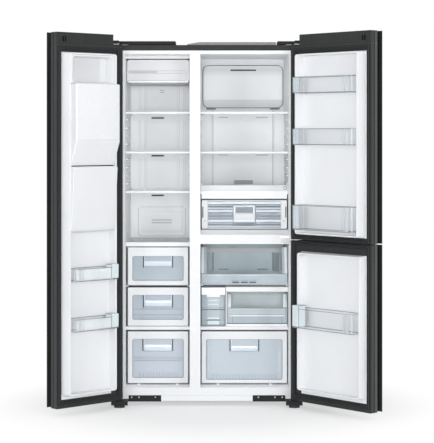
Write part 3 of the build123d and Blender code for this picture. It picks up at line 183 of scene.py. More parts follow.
class REFRIGERATOR_PG_finishes(bpy.types.PropertyGroup):
    """Colours of the refrigerator's finishes."""

    door_colour: FloatVectorProperty(
        name="Door colour", description="Brushed steel on the fronts of the doors",
        subtype="COLOR", size=3, min=0.0, max=1.0, default=(0.047, 0.048, 0.049))
    moulding_colour: FloatVectorProperty(
        name="Moulding colour", description="Dark mouldings round the doors",
        subtype="COLOR", size=3, min=0.0, max=1.0, default=(0.031, 0.033, 0.033))
    white_colour: FloatVectorProperty(
        name="White colour", description="White mouldings, liners and the face of the cabinet",
        subtype="COLOR", size=3, min=0.0, max=1.0, default=(0.8, 0.81, 0.825))
    clear_colour: FloatVectorProperty(
        name="Clear tint", description="Tint of the clear trays, bins and windows",
        subtype="COLOR", size=3, min=0.0, max=1.0, default=(0.52, 0.59, 0.64))


class REFRIGERATOR_PG_fittings(bpy.types.PropertyGroup):
    """Sizes of the repeated fittings."""

    screw_radius: FloatProperty(
        name="Screw head radius", description="Radius of the pan head screws",
        unit="LENGTH", min=0.001, max=0.02, default=0.0045)
    back_screws: IntProperty(
        name="Back panel screws", description="Screws up each side of the back panel",
        min=2, max=40, default=9)
    rib_pitch: FloatProperty(
        name="Drawer rib pitch", description="Distance between the ribs on a drawer's floor",
        unit="LENGTH", min=0.004, max=0.1, default=0.016)
    rail_pitch: FloatProperty(
        name="Side rail pitch", description="Height between the supports on the compartment walls",
        unit="LENGTH", min=0.01, max=0.2, default=0.040)
    louvre_count: IntProperty(
        name="Louvres", description="Level ribs across the chiller's front",
        min=2, max=30, default=7)
    bin_ribs: IntProperty(
        name="Door bin ribs", description="Upright ribs at each end of a door bin",
        min=1, max=12, default=3)


class REFRIGERATOR_PG_stage(bpy.types.PropertyGroup):
    """Floor, lamps and camera."""

    camera_x: FloatProperty(
        name="Camera offset", description="Camera to the right of the cabinet's middle",
        unit="LENGTH", default=0.0488)
    camera_distance: FloatProperty(
        name="Camera distance", description="Camera in front of the cabinet's face",
        unit="LENGTH", min=0.5, default=7.8716)
    camera_height: FloatProperty(
        name="Camera height", description="Camera above the floor",
        unit="LENGTH", default=1.3141)
    lens: FloatProperty(
        name="Focal length", description="Focal length in millimetres on a 36 mm sensor",
        min=10.0, max=500.0, default=131.8)
    shift: FloatProperty(
        name="Upward shift", description="Shift of the lens, as a share of the frame",
        min=-1.0, max=1.0, default=-0.1957)
    key_power: FloatProperty(
        name="Key lamp", description="Power of the large lamp in front", unit="POWER",
        min=0.0, default=262.0)
    fill_power: FloatProperty(
        name="Fill lamp", description="Power of the low lamp in front", unit="POWER",
        min=0.0, default=56.0)
    side_power: FloatProperty(
        name="Side lamps", description="Power of each of the two lamps beside the key lamp",
        unit="POWER", min=0.0, default=150.0)
    top_power: FloatProperty(
        name="Top lamp", description="Power of the lamp overhead", unit="POWER",
        min=0.0, default=45.0)
    back_power: FloatProperty(
        name="Back lamps", description="Power of each of the two lamps behind", unit="POWER",
        min=0.0, default=130.0)
    ambient: FloatProperty(
        name="Ambient light", description="Strength of the white room round the object",
        min=0.0, max=2.0, default=0.49)


# ---- Finishes ----


def join(tree, socket, value):
    """Links a socket to another node's output, or sets its value."""
    if isinstance(value, bpy.types.NodeSocket):
        tree.links.new(value, socket)
    else:
        socket.default_value = value


def add_node(tree, kind, *placed, operation=None, mode=None, **named):
    """A node with its inputs linked or set, by their place or by their name."""
    node = tree.nodes.new(kind)
    if operation:
        node.operation = operation
    if mode:
        node.mode = mode
    for socket, value in zip(node.inputs, placed):
        join(tree, socket, value)
    for name, value in named.items():
        join(tree, node.inputs[name.replace("_", " ")], value)
    return node


class Finish:
    """One procedural material, built node by node."""

    def __init__(self, name):
        self.material = bpy.data.materials.new(name)
        self.material.use_nodes = True
        self.tree = self.material.node_tree
        self.tree.nodes.clear()
        self.shader = self.add("ShaderNodeBsdfPrincipled")
        self.add("ShaderNodeOutputMaterial", Surface=self.shader.outputs["BSDF"])
        self.place = self.add("ShaderNodeTexCoord").outputs["Object"]

    def add(self, kind, *placed, **named):
        return add_node(self.tree, kind, *placed, **named)

    def along(self, axis):
        """One of the object coordinates."""
        return self.add("ShaderNodeSeparateXYZ", self.place).outputs[axis]

    def noise(self, scale, detail=3.0, stretch=None):
        """Noise over the object coordinates, stretched each way if asked."""
        place = self.place
        if stretch:
            place = self.add("ShaderNodeMapping", Vector=place, Scale=stretch).outputs["Vector"]
        return self.add("ShaderNodeTexNoise", Vector=place, Scale=scale, Detail=detail, Roughness=0.55).outputs["Fac"]

    def ramp(self, factor, stops):
        """Colours over a factor; stops are (position, colour) pairs."""
        node = self.add("ShaderNodeValToRGB", factor)
        bands = node.color_ramp.elements
        while len(bands) < len(stops):
            bands.new(0.5)
        for band, (position, colour) in zip(bands, stops):
            band.position = position
            band.color = (*colour, 1.0)
        return node.outputs["Color"]

    def shades(self, factor, colour, stops):
        """Shades of one colour over a factor; stops are (position, share of the colour) pairs."""
        return self.ramp(factor, [(position, shade(colour, share)) for position, share in stops])

    def drift(self, scale, colour, low, high):
        """A colour that drifts between two shares of itself."""
        return self.shades(self.noise(scale), colour, [(0.3, low), (0.7, high)])

    def between(self, factor, low, high, source=(0.25, 0.75)):
        """A factor, with its range brought to another."""
        return self.add("ShaderNodeMapRange", factor, *source, low, high).outputs["Result"]

    def done(self, colour, roughness, bump, **sockets):
        """Joins up the shader; bump is a height, its strength and its distance."""
        height, strength, distance = bump
        raised = self.add("ShaderNodeBump", Height=height, Strength=strength, Distance=distance)
        sockets.update(Base_Color=colour, Roughness=roughness, Normal=raised.outputs["Normal"])
        for name, value in sockets.items():
            join(self.tree, self.shader.inputs[name.replace("_", " ")], value)
        return self.material


def shade(colour, amount):
    """A colour made lighter or darker."""
    return tuple(min(1.0, channel * amount) for channel in colour)


def chosen(setting):
    """A colour that the user can change."""
    return tuple(getattr(bpy.context.scene.refrigerator_finishes, setting))


def moulded(name, colour, rough, specular=0.5, tone=(5.0, 0.03), grain=(1400.0, 0.05)):
    """Moulded plastic: a faint drift of tone, a fine grain and a little unevenness of gloss."""
    made = Finish(name)
    return made.done(
        made.drift(tone[0], colour, 1 - tone[1], 1 + tone[1] / 2),
        made.between(made.noise(60.0, 4.0), rough - 0.05, rough + 0.06),
        (made.noise(grain[0], 2.0), grain[1], 0.0002), Specular_IOR_Level=specular)


def white(name, share, *values, **changes):
    """Moulded plastic as bright as a share of the white colour."""
    return moulded(name, shade(chosen("white_colour"), share), *values, **changes)


def shell_enamel(name, colour):
    """Dark enamel: matt along the front edge, glossier on the sides and the top."""
    made = Finish(name)
    edge = PLACE["cabinet"].translation.y
    return made.done(
        made.drift(4.0, colour, 0.92, 1.06), made.between(made.noise(60.0, 4.0), 0.4, 0.5),
        (made.noise(900.0, 2.0), 0.08, 0.0002),
        Specular_IOR_Level=made.between(made.along("Y"), 0.1, 0.45, (edge + 0.004, edge + 0.03)))


def cover_white(name):
    """White cover with painted shade: a painted shaded band near its foot and painted shade darkening towards its head.
    """
    made = Finish(name)
    top = size_of("fridge_duct_panel")[2][1] * MM + PLACE["cabinet"].translation.z
    rise = made.between(made.along("Z"), 0.0, 1.0, (top - COVER_HEIGHT * MM, top))
    # painted shade: from the foot up, a darker band, the plain face, then darker towards the head
    bands = made.shades(rise, shade(chosen("white_colour"), 1.1), [
        (0.0, 0.9), (0.08, 0.7), (0.17, 0.74), (0.19, 0.94), (0.72, 0.93), (0.88, 0.75), (0.96, 0.83)])
    return made.done(bands, made.between(made.noise(60.0, 4.0), 0.36, 0.48),
                     (made.noise(1400.0, 2.0), 0.05, 0.0002), Specular_IOR_Level=0.2)


def brushed(name, colour, rough, metallic, across=(420.0, 420.0, 3.0)):
    """Brushed or rolled sheet: fine streaks along the sheet in colour, gloss and bump."""
    made = Finish(name)
    streaks = made.noise(1.0, 5.0, across)
    mixed = made.add("ShaderNodeMath", streaks, made.noise(3.0), operation="MULTIPLY").outputs["Value"]
    return made.done(
        made.shades(mixed, colour, [(0.15, 0.82), (0.38, 1.18)]), made.between(streaks, rough - 0.07, rough + 0.09),
        (streaks, 0.06, 0.0002), Metallic=metallic)


def door_steel(name):
    """The brushed fronts of the doors."""
    return brushed(name, chosen("door_colour"), 0.36, 0.55)


def galvanised(name, colour, rough):
    """Zinc coated sheet with its crystal pattern."""
    made = Finish(name)
    cells = made.add("ShaderNodeTexVoronoi", Vector=made.place, Scale=110.0).outputs["Color"]
    grey = made.add("ShaderNodeRGBToBW", cells).outputs["Val"]
    return made.done(
        made.shades(grey, colour, [(0.1, 0.93), (0.9, 1.05)]),
        made.between(grey, rough - 0.08, rough + 0.1, (0.0, 1.0)), (made.noise(500.0), 0.05, 0.0002), Metallic=0.85)


def foam(name, colour):
    """Blown insulation with its open cells."""
    made = Finish(name)
    cells = made.add("ShaderNodeTexVoronoi", Vector=made.place, Scale=480.0).outputs["Distance"]
    return made.done(
        made.drift(9.0, colour, 0.86, 1.05), made.between(made.noise(80.0), 0.8, 0.95), (cells, 0.5, 0.0012))


def see_through(made, colour, alpha, rough, bump):
    """Ends a finish of clear or tinted plastic that lets what is behind it show."""
    return made.done(colour, made.between(made.noise(40.0), rough * 0.6, rough * 1.5),
                     (made.noise(30.0), bump, 0.0005), Alpha=alpha, IOR=1.49, Specular_IOR_Level=0.2)


def clear(name, colour, alpha, rough):
    """Clear or tinted plastic of one tone."""
    made = Finish(name)
    return see_through(made, made.drift(7.0, colour, 0.9, 1.1), alpha, rough, 0.05)


def tinted(name, share, alpha, rough):
    """Clear plastic as bright as a share of the clear tint."""
    return clear(name, shade(chosen("clear_colour"), share), alpha, rough)


def graded(name, lower, upper, limits, axis):
    """Tinted plastic whose tone changes along an axis, between two places in metres."""
    made = Finish(name)
    rise = made.between(made.along(axis), 0.0, 1.0, limits)
    uneven = made.add("ShaderNodeMath", made.noise(11.0), 0.22, rise, operation="MULTIPLY_ADD").outputs["Value"]
    return see_through(made, made.ramp(uneven, [(0.1, lower), (1.0, upper)]), 0.85, 0.12, 0.06)


def door_mouldings_painted_light(name, body, outer, edge):
    """Dark door moulding with painted light and shade: the top cap painted lighter, a reveal painted dark as shade, and
    painted lit and shaded bands across the door's edge.

    The bands follow the depth into the door, from its outer skin to its inner face.
    """
    made = Finish(name)
    row = PLACE[body].inverted()[1]
    depth = made.add("ShaderNodeVectorMath", made.place, row[:3], operation="DOT_PRODUCT").outputs["Value"]
    across = made.between(depth, 0.0, 1.0, (-90 - row[3], -8 - row[3]))
    # painted light and shade: shares of the moulding colour for the lit and the shaded faces across the edge; the
    # reveal at 0.3 is painted shade
    bands = made.shades(across, chosen("moulding_colour"), [
        (0.0, outer), (0.14, outer), (0.16, edge), (0.62, 0.9 * edge), (0.635, 0.3), (0.675, 0.3),
        (0.69, 1.75), (0.9, 1.5), (0.955, 0.95)])
    # painted light: the top cap is painted lighter than the rest of the moulding
    top = size_of("left_door_frame")[2][1] * MM
    cap = made.between(made.along("Z"), 0.0, 1.0, (top - 0.0602, top - 0.0598))
    tone = made.between(made.noise(1.0, 4.0, (60.0, 60.0, 2.0)), 0.86, 1.12)
    lift = made.add("ShaderNodeMath", cap, -0.02, tone, operation="MULTIPLY_ADD").outputs["Value"]
    lifted = made.add("ShaderNodeVectorMath", bands, Scale=lift, operation="SCALE").outputs["Vector"]
    return made.done(lifted, made.between(made.noise(120.0, 4.0), 0.46, 0.58),
                     (made.noise(1500.0, 2.0), 0.08, 0.0002), Specular_IOR_Level=0.18)


# Height of the cover at the head of the fridge's back wall, where the freezer's fan cover has its face,
# how thick the liners' walls are, and the height under which drawers stand in place of shelves
COVER_HEIGHT = 231
HEAD_FRONT = 120
LINER_WALL = 1.5
DRAWERS_TOP = 1000

# Each finish: what makes it, the values it takes in order, and the ones it takes by name
FINISHES = {
    "door_steel": (door_steel,),
    # the door mouldings carry painted light and shade; the right doors' outer band is painted near black as shade
    "left_moulding": (door_mouldings_painted_light, "left_door", 1.3, 1.65),
    "right_moulding": (door_mouldings_painted_light, "upper_door", 0.12, 2.8),
    "wrapper_enamel": (shell_enamel, (0.027, 0.028, 0.028)),
    "cover_white": (cover_white,),
    "white_moulding": (white, 0.84, 0.42, 0.25),
    "white_liner": (white, 0.9, 0.42, 0.25, {"grain": (700.0, 0.05)}),
    # painted light: a brighter copy of the white for the compartments' insides, making up for the light they lack
    "white_cavity": (white, 1.13, 0.42, 0.25, {"grain": (700.0, 0.05)}),
    "white_enamel": (white, 0.835, 0.4, 0.25, {"grain": (420.0, 0.06)}),
    "white_glossy": (white, 0.87, 0.25, 0.2, {"grain": (500.0, 0.03)}),
    # painted shade: a darker copy of the white, for white parts that sit in shade
    "head_white": (white, 0.77, 0.42, 0.2),
    # painted shade: a grey copy of the white for the groove band on the freezer's head
    "head_band": (white, 0.6, 0.5, 0.1),
    # painted shade: a copy of the white a little darker than the walls, for lines at the ribs' edges
    "cavity_line": (white, 0.98, 0.5, 0.1),
    # painted light: a copy of the white brighter than the white, for highlights and for faces painted lit against shade
    "lip_white": (white, 1.05, 0.4, 0.2),
    "seam_grey": (white, 0.72, 0.45),
    # painted shade: grey copies of the white for the back of the alcove's recess
    "alcove_grey": (white, 0.8, 0.45, {"tone": (4.0, 0.06)}),
    "alcove_pale": (white, 0.85, 0.45),
    "grip_white": (white, 1.0, 0.15),
    "grey_moulding": (moulded, (0.17, 0.174, 0.17), 0.3, 0.2, {"tone": (6.0, 0.1)}),
    "pale_grey": (moulded, (0.52, 0.54, 0.56), 0.35),
    "vent_grey": (moulded, (0.46, 0.475, 0.49), 0.45),
    # painted shade: a dark grey for seams and gaps between parts
    "gap_dark": (moulded, (0.22, 0.235, 0.25), 0.6, 0.1),
    "gap_shadow": (moulded, (0.17, 0.185, 0.2), 0.6),
    "cheek_shadow": (moulded, (0.085, 0.105, 0.125), 0.5, 0.2),
    "slit_shadow": (moulded, (0.03, 0.032, 0.035), 0.7, 0.1),
    # painted shadow: near black for slots and gaps
    "slot_black": (moulded, (0.006, 0.006, 0.006), 0.8, 0.05),
    "black_moulding": (moulded, (0.018, 0.019, 0.02), 0.55, 0.1, {"grain": (900.0, 0.15)}),
    "black_gloss": (moulded, (0.012, 0.012, 0.013), 0.1, {"grain": (400.0, 0.02)}),
    "seal_rubber": (moulded, (0.024, 0.025, 0.026), 0.62, 0.2, {"grain": (700.0, 0.12)}),
    "foot_rubber": (moulded, (0.02, 0.02, 0.021), 0.7, {"grain": (600.0, 0.2)}),
    "fan_plastic": (moulded, (0.12, 0.125, 0.13), 0.45, {"grain": (900.0, 0.1)}),
    "compressor_enamel": (moulded, (0.018, 0.018, 0.019), 0.3, {"tone": (12.0, 0.15), "grain": (500.0, 0.12)}),
    "zinc": (galvanised, (0.56, 0.57, 0.58), 0.4),
    "foam": (foam, (0.72, 0.63, 0.42)),
    "hinge_steel": (brushed, (0.2, 0.205, 0.21), 0.38, 0.8, (300.0, 300.0, 300.0)),
    "pale_steel": (brushed, (0.55, 0.56, 0.57), 0.42, 0.4, (30.0, 300.0, 300.0)),
    "screw_steel": (brushed, (0.5, 0.5, 0.51), 0.3, 0.95, (500.0, 500.0, 500.0)),
    "fin_aluminium": (brushed, (0.66, 0.68, 0.69), 0.36, 0.85, (200.0, 200.0, 5.0)),
    "motor_steel": (brushed, (0.42, 0.43, 0.44), 0.35, 0.8, (150.0, 150.0, 150.0)),
    "clear_plastic": (tinted, 1.45, 0.025, 0.06),
    "clear_end": (tinted, 1.2, 0.08, 0.06),
    "clear_floor": (tinted, 1.0, 0.07, 0.06),
    "clear_side": (tinted, 1.1, 0.42, 0.08),
    "clear_edge": (tinted, 0.5, 0.85, 0.15),
    "soft_edge": (tinted, 0.95, 0.6, 0.15),
    "shelf_glass": (clear, (0.8, 0.87, 0.86), 0.22, 0.04),
    "grip_clear": (clear, (0.64, 0.71, 0.78), 0.92, 0.12),
    "frosted_tub": (clear, (0.56, 0.63, 0.7), 0.93, 0.3),
    "window_pane": (graded, (0.53, 0.575, 0.635), (0.38, 0.44, 0.49), (0.25, 0.75), "Z"),
    "crisper_pane": (graded, (0.54, 0.6, 0.65), (0.52, 0.575, 0.62), (-0.03, 0.2), "X"),
    "louvre_pane": (clear, (0.55, 0.62, 0.7), 0.7, 0.12),
    "pane_pale": (clear, (0.88, 0.92, 0.93), 0.6, 0.1),
    # painted shade: a dark tint for the rim inside the drawer windows
    "rim_tint": (clear, (0.2, 0.24, 0.28), 0.85, 0.2),
    "rib_clear": (clear, (0.75, 0.81, 0.87), 0.5, 0.1),
    "rib_faint": (clear, (0.44, 0.5, 0.55), 0.13, 0.2),
    "rib_shade": (clear, (0.36, 0.42, 0.47), 0.6, 0.2),
    # painted shade: a dark tint for the band over the tray's slots
    "panel_tint": (clear, (0.44, 0.52, 0.58), 0.5, 0.2),
    "panel_deep": (clear, (0.3, 0.36, 0.4), 0.7, 0.2),
    # painted shade: dark tints for the strips, lines and slots of the hoods and the tray, and for the hoods' pockets
    "cheek_tint": (clear, (0.32, 0.38, 0.42), 0.9, 0.2),
    "pocket_tint": (clear, (0.44, 0.5, 0.55), 0.95, 0.2),
    # painted shade: a dark tint for the chiller handle's pocket
    "pocket_deep": (clear, (0.175, 0.2, 0.235), 0.97, 0.2),
    "band_pale": (clear, (0.6, 0.645, 0.69), 0.95, 0.1),
    "band_soft": (clear, (0.41, 0.46, 0.51), 0.95, 0.1),
    "band_mid": (clear, (0.325, 0.365, 0.42), 0.95, 0.1),
    "band_deep": (clear, (0.21, 0.24, 0.285), 0.95, 0.1),
    "band_line": (clear, (0.15, 0.17, 0.2), 0.95, 0.1),
    "line_deep": (clear, (0.13, 0.155, 0.18), 0.95, 0.2),
    "tray_front": (clear, (0.58, 0.66, 0.71), 0.5, 0.08),
    "tray_back": (clear, (0.6, 0.72, 0.77), 0.96, 0.3),
    "tray_mid": (clear, (0.44, 0.49, 0.525), 0.95, 0.2),
    "side_tint": (clear, (0.36, 0.415, 0.45), 0.95, 0.2),
    "bin_back": (clear, (0.83, 0.94, 0.985), 0.96, 0.3),
    "bracket_clear": (clear, (0.72, 0.8, 0.83), 0.84, 0.1),
    "end_tint": (clear, (0.68, 0.76, 0.79), 0.72, 0.1),
    "strip_pale": (clear, (0.72, 0.8, 0.84), 0.85, 0.15),
    "strip_faint": (clear, (0.74, 0.8, 0.84), 0.55, 0.15),
    "soft_white": (clear, (0.84, 0.87, 0.9), 0.85, 0.15),
    # painted highlight: a pale clear strip for highlights
    "soft_light": (clear, (0.84, 0.86, 0.95), 0.45, 0.2),
}


def finish(name):
    """The material of that name, made when it is first asked for."""
    if name in bpy.data.materials:
        return bpy.data.materials[name]
    maker, *values = FINISHES[name]
    changes = values.pop() if values and isinstance(values[-1], dict) else {}
    return maker(name, *values, **changes)


def dress(name, *nodes):
    """Gives solids of the model their finish."""
    for node in nodes:
        frame["nodes"][node].data.materials[0] = finish(name)


# ---- Making pieces ----

# Edges that turn by more degrees than this stay sharp
SHARP_ANGLE = 50

# Where a point (u, v) of an outline at a place w along an axis lies in X, Y and Z
AXES = {
    "X": lambda u, v, w: (w, u, v),
    "Y": lambda u, v, w: (u, w, v),
    "Z": lambda u, v, w: (u, v, w),
}


class Form:
    """Closed shapes gathered into one piece, each with its finish."""

    def __init__(self):
        self.mesh = bmesh.new()
        self.finishes = []

    def take(self, part, name):
        """Adds a closed shape; three finishes go to its faces that look along X, Y and Z."""
        names = (name,) * 3 if isinstance(name, str) else name
        for used in names:
            if used not in self.finishes:
                self.finishes.append(used)
        bmesh.ops.recalc_face_normals(part, faces=part.faces)
        for face in part.faces:
            facing = [abs(component) for component in face.normal]
            face.material_index = self.finishes.index(names[facing.index(max(facing))])
            face.smooth = True
        holder = bpy.data.meshes.new("holder")
        part.to_mesh(holder)
        part.free()
        self.mesh.from_mesh(holder)
        bpy.data.meshes.remove(holder)

    def block(self, x, y, z, name, soft=0.0):
        """A block between pairs of values, with softened edges."""
        part = bmesh.new()
        sizes = (x[1] - x[0], y[1] - y[0], z[1] - z[0])
        bmesh.ops.create_cube(part, size=1.0, matrix=Matrix.Diagonal((*sizes, 1.0)))
        if soft:
            bmesh.ops.bevel(part, geom=part.edges[:], offset=min(soft, 0.49 * min(sizes)), segments=2,
                            profile=0.5, affect="EDGES", clamp_overlap=True)
        bmesh.ops.translate(part, vec=(middle(x), middle(y), middle(z)), verts=part.verts)
        self.take(part, name)

    def rod(self, start, end, width, name):
        """A slim square bar from one point to another."""
        start, end = Vector(start), Vector(end)
        along = end - start
        part = bmesh.new()
        bmesh.ops.create_cube(part, size=1.0, matrix=Matrix.Diagonal((width, width, along.length, 1.0)))
        bmesh.ops.bevel(part, geom=part.edges[:], offset=min(0.4, width * 0.45), segments=1,
                        profile=0.5, affect="EDGES", clamp_overlap=True)
        turn = along.to_track_quat("Z", "Y").to_matrix().to_4x4()
        bmesh.ops.transform(part, matrix=Matrix.Translation((start + end) / 2) @ turn, verts=part.verts)
        self.take(part, name)

    def loft(self, axis, rings, name, closed=False, steps=5):
        """A skin through rounded rectangles: each ring is two spans, a corner radius and its place."""
        part = bmesh.new()
        loops = []
        for u, v, radius, w in rings:
            radius = max(0.05, min(radius, 0.499 * (u[1] - u[0]), 0.499 * (v[1] - v[0])))
            loop = []
            starts = (
                (u[1] - radius, v[1] - radius, 0), (u[0] + radius, v[1] - radius, 90),
                (u[0] + radius, v[0] + radius, 180), (u[1] - radius, v[0] + radius, 270),
            )
            for corner_u, corner_v, first in starts:
                for step in range(steps + 1):
                    angle = math.radians(first + 90 * step / steps)
                    spot = AXES[axis](corner_u + radius * math.cos(angle), corner_v + radius * math.sin(angle), w)
                    loop.append(part.verts.new(spot))
            loops.append(loop)
        pairs = list(zip(loops, loops[1:]))
        if closed:
            pairs.append((loops[-1], loops[0]))
        else:
            part.faces.new(loops[0])
            part.faces.new(loops[-1])
        for low, high in pairs:
            for i in range(len(low)):
                j = (i + 1) % len(low)
                part.faces.new((low[i], low[j], high[j], high[i]))
        self.take(part, name)

    def profile(self, axis, points, span, name, soft=0.0, segments=2):
        """A flat outline carried along an axis, with softened edges."""
        part = bmesh.new()
        first = [part.verts.new(AXES[axis](u, v, span[0])) for u, v in points]
        last = [part.verts.new(AXES[axis](u, v, span[1])) for u, v in points]
        part.faces.new(first)
        part.faces.new(last)
        for i in range(len(points)):
            j = (i + 1) % len(points)
            part.faces.new((first[i], first[j], last[j], last[i]))
        bmesh.ops.recalc_face_normals(part, faces=part.faces)
        if soft:
            bmesh.ops.bevel(part, geom=part.edges[:], offset=soft, segments=segments, profile=0.5,
                            affect="EDGES", clamp_overlap=True)
        self.take(part, name)

    def lathe(self, axis, centre, outline, name, sides=24):
        """A turned shape about a line: outline is (radius, place) pairs from one end to the other."""
        part = bmesh.new()
        loops = []
        for radius, w in outline:
            loop = []
            for side in range(sides):
                angle = 2 * math.pi * side / sides
                u = centre[0] + max(radius, 0.05) * math.cos(angle)
                v = centre[1] + max(radius, 0.05) * math.sin(angle)
                loop.append(part.verts.new(AXES[axis](u, v, w)))
            loops.append(loop)
        part.faces.new(loops[0])
        part.faces.new(loops[-1])
        for low, high in zip(loops, loops[1:]):
            for i in range(sides):
                j = (i + 1) % sides
                part.faces.new((low[i], low[j], high[j], high[i]))
        self.take(part, name)

    def ring(self, axis, u, v, radii, width, back, front, name):
        """A ring between a rounded rectangle and the same one drawn in; radii are outside and inside."""
        inner = (inset(u, width), inset(v, width), radii[1])
        outer = (u, v, radii[0])
        self.loft(axis, [(*outer, back), (*outer, front), (*inner, front), (*inner, back)], name, closed=True)

    def blocks(self, y, z, rows):
        """Blocks whose spans in Y and Z are given over one place: (x, near, far, low, high, finish, softness)."""
        for x, near, far, low, high, name, soft in rows:
            self.block(x, (y + near, y + far), (z + low, z + high), name, soft)

    def done(self, name, body, *nodes):
        """Ends the piece: it rides on its body and stands for the nodes named."""
        mesh = bpy.data.meshes.new(name)
        self.mesh.to_mesh(mesh)
        self.mesh.free()
        for used in self.finishes:
            mesh.materials.append(finish(used))
        return settle(mesh, name, body, nodes)


def settle(mesh, name, body, nodes=()):
    """Brings a mesh in millimetres to its place and body."""
    mesh.transform(PLACE[body])
    mesh.update()
    mesh.set_sharp_from_angle(angle=math.radians(SHARP_ANGLE))
    piece = bpy.data.objects.new(name, mesh)
    bpy.context.scene.collection.objects.link(piece)
    weigh = piece.modifiers.new("Even shading", "WEIGHTED_NORMAL")
    weigh.keep_sharp = True
    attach(piece, body)
    if nodes:
        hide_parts(*nodes)
    return piece


# ---- Geometry node trees for what repeats ----


def new_tree(name, inputs):
    """An empty geometry tree with named inputs, (name, socket type, default) each, and where they come out."""
    tree = bpy.data.node_groups.new(name, "GeometryNodeTree")
    for way in ("INPUT", "OUTPUT"):
        tree.interface.new_socket("Geometry", in_out=way, socket_type="NodeSocketGeometry")
    for label, kind, default in inputs:
        socket = tree.interface.new_socket(label, in_out="INPUT", socket_type="NodeSocket" + kind)
        if default is not None:
            socket.default_value = default
    return tree, tree.nodes.new("NodeGroupInput").outputs


def end_tree(tree, given, points, instance):
    """Puts turned copies on points, realises them and gives them their material."""
    copies = add_node(tree, "GeometryNodeInstanceOnPoints", Points=points, Instance=instance, Rotation=given["Turn"])
    real = add_node(tree, "GeometryNodeRealizeInstances", copies.outputs["Instances"])
    dressed = add_node(tree, "GeometryNodeSetMaterial", Geometry=real.outputs["Geometry"], Material=given["Finish"])
    add_node(tree, "NodeGroupOutput", Geometry=dressed.outputs["Geometry"])
    return tree


def scaled(tree, source, factor):
    """A value times a factor."""
    return add_node(tree, "ShaderNodeMath", source, factor, operation="MULTIPLY").outputs["Value"]


def bars_tree():
    """Rounded bars in a row: ribs, slats, louvres and rails."""
    name = "Row of bars"
    if name in bpy.data.node_groups:
        return bpy.data.node_groups[name]
    tree, given = new_tree(name, [
        ("Length", "Float", 100.0), ("Width", "Float", 3.0), ("Depth", "Float", 3.0), ("Rounding", "Float", 1.0),
        ("Count", "Int", 5), ("Start", "Vector", (0.0, 0.0, 0.0)), ("Step", "Vector", (0.0, 0.0, 10.0)),
        ("Turn", "Vector", (0.0, 0.0, 0.0)), ("Finish", "Material", None),
    ])
    outline = add_node(tree, "GeometryNodeCurvePrimitiveQuadrilateral", Width=given["Width"], Height=given["Depth"])
    rounded = add_node(tree, "GeometryNodeFilletCurve", mode="POLY", Curve=outline.outputs["Curve"],
                       Radius=given["Rounding"], Count=2)
    start, end = [add_node(tree, "ShaderNodeCombineXYZ", scaled(tree, given["Length"], share)).outputs["Vector"]
                  for share in (-0.5, 0.5)]
    path = add_node(tree, "GeometryNodeCurvePrimitiveLine", Start=start, End=end)
    bar = add_node(tree, "GeometryNodeCurveToMesh", Curve=path.outputs["Curve"],
                   Profile_Curve=rounded.outputs["Curve"], Fill_Caps=True)
    row = add_node(tree, "GeometryNodeMeshLine", Count=given["Count"], Start_Location=given["Start"],
                   Offset=given["Step"])
    return end_tree(tree, given, row.outputs["Mesh"], bar.outputs["Mesh"])


def screws_tree():
    """Pan head screws on the points of a mesh, with a cross on each head."""
    name = "Screws on points"
    if name in bpy.data.node_groups:
        return bpy.data.node_groups[name]
    tree, given = new_tree(name, [
        ("Head radius", "Float", 4.5), ("Head height", "Float", 2.0), ("Turn", "Vector", (0.0, 0.0, 0.0)),
        ("Finish", "Material", None),
    ])
    radius, height = given["Head radius"], given["Head height"]
    head = add_node(tree, "GeometryNodeMeshCone", Vertices=16, Radius_Top=scaled(tree, radius, 0.68),
                    Radius_Bottom=radius, Depth=height)
    joined = add_node(tree, "GeometryNodeJoinGeometry", head.outputs["Mesh"])
    thin = scaled(tree, radius, 0.2)
    lift = add_node(tree, "ShaderNodeCombineXYZ", Z=height).outputs["Vector"]
    for sizes in ((radius, thin, 0.5), (thin, radius, 0.5)):
        size = add_node(tree, "ShaderNodeCombineXYZ", *sizes).outputs["Vector"]
        arm = add_node(tree, "GeometryNodeMeshCube", Size=size).outputs["Mesh"]
        raised = add_node(tree, "GeometryNodeTransform", Geometry=arm, Translation=lift)
        tree.links.new(raised.outputs["Geometry"], joined.inputs["Geometry"])
    return end_tree(tree, given, given["Geometry"], joined.outputs["Geometry"])


def grow(tree, runs, name, body):
    """Runs a tree once for each set of inputs, and joins the results into one plain piece."""
    joined = bmesh.new()
    finishes = []
    for points, values in runs:
        seed = bpy.data.meshes.new("seed")
        seed.from_pydata([tuple(point) for point in points], [], [])
        holder = bpy.data.objects.new("holder", seed)
        bpy.context.scene.collection.objects.link(holder)
        grower = holder.modifiers.new("Grow", "NODES")
        grower.node_group = tree
        for item in tree.interface.items_tree:
            if item.in_out == "INPUT" and item.name in values:
                grower[item.identifier] = values[item.name]
        if values["Finish"].name not in finishes:
            finishes.append(values["Finish"].name)
        depsgraph = bpy.context.evaluated_depsgraph_get()
        result = bpy.data.meshes.new_from_object(holder.evaluated_get(depsgraph))
        index = finishes.index(values["Finish"].name)
        for face in result.polygons:
            face.material_index = index
            face.use_smooth = True
        joined.from_mesh(result)
        holder.modifiers.clear()
        bpy.data.objects.remove(holder)
        bpy.data.meshes.remove(seed)
        bpy.data.meshes.remove(result)
    bmesh.ops.recalc_face_normals(joined, faces=joined.faces)
    mesh = bpy.data.meshes.new(name)
    joined.to_mesh(mesh)
    joined.free()
    for used in finishes:
        mesh.materials.append(finish(used))
    return settle(mesh, name, body)


def bars(length, width, depth, count, start, step, name, turn=(0, 0, 0), rounding=None):
    """Inputs for a row of bars that lie along X before they are turned."""
    if rounding is None:
        rounding = 0.3 * min(width, depth)
    return ([], {
        "Length": float(length), "Width": float(width), "Depth": float(depth),
        "Rounding": float(rounding), "Count": int(count), "Start": tuple(map(float, start)),
        "Step": tuple(map(float, step)), "Turn": tuple(math.radians(a) for a in turn),
        "Finish": finish(name),
    })


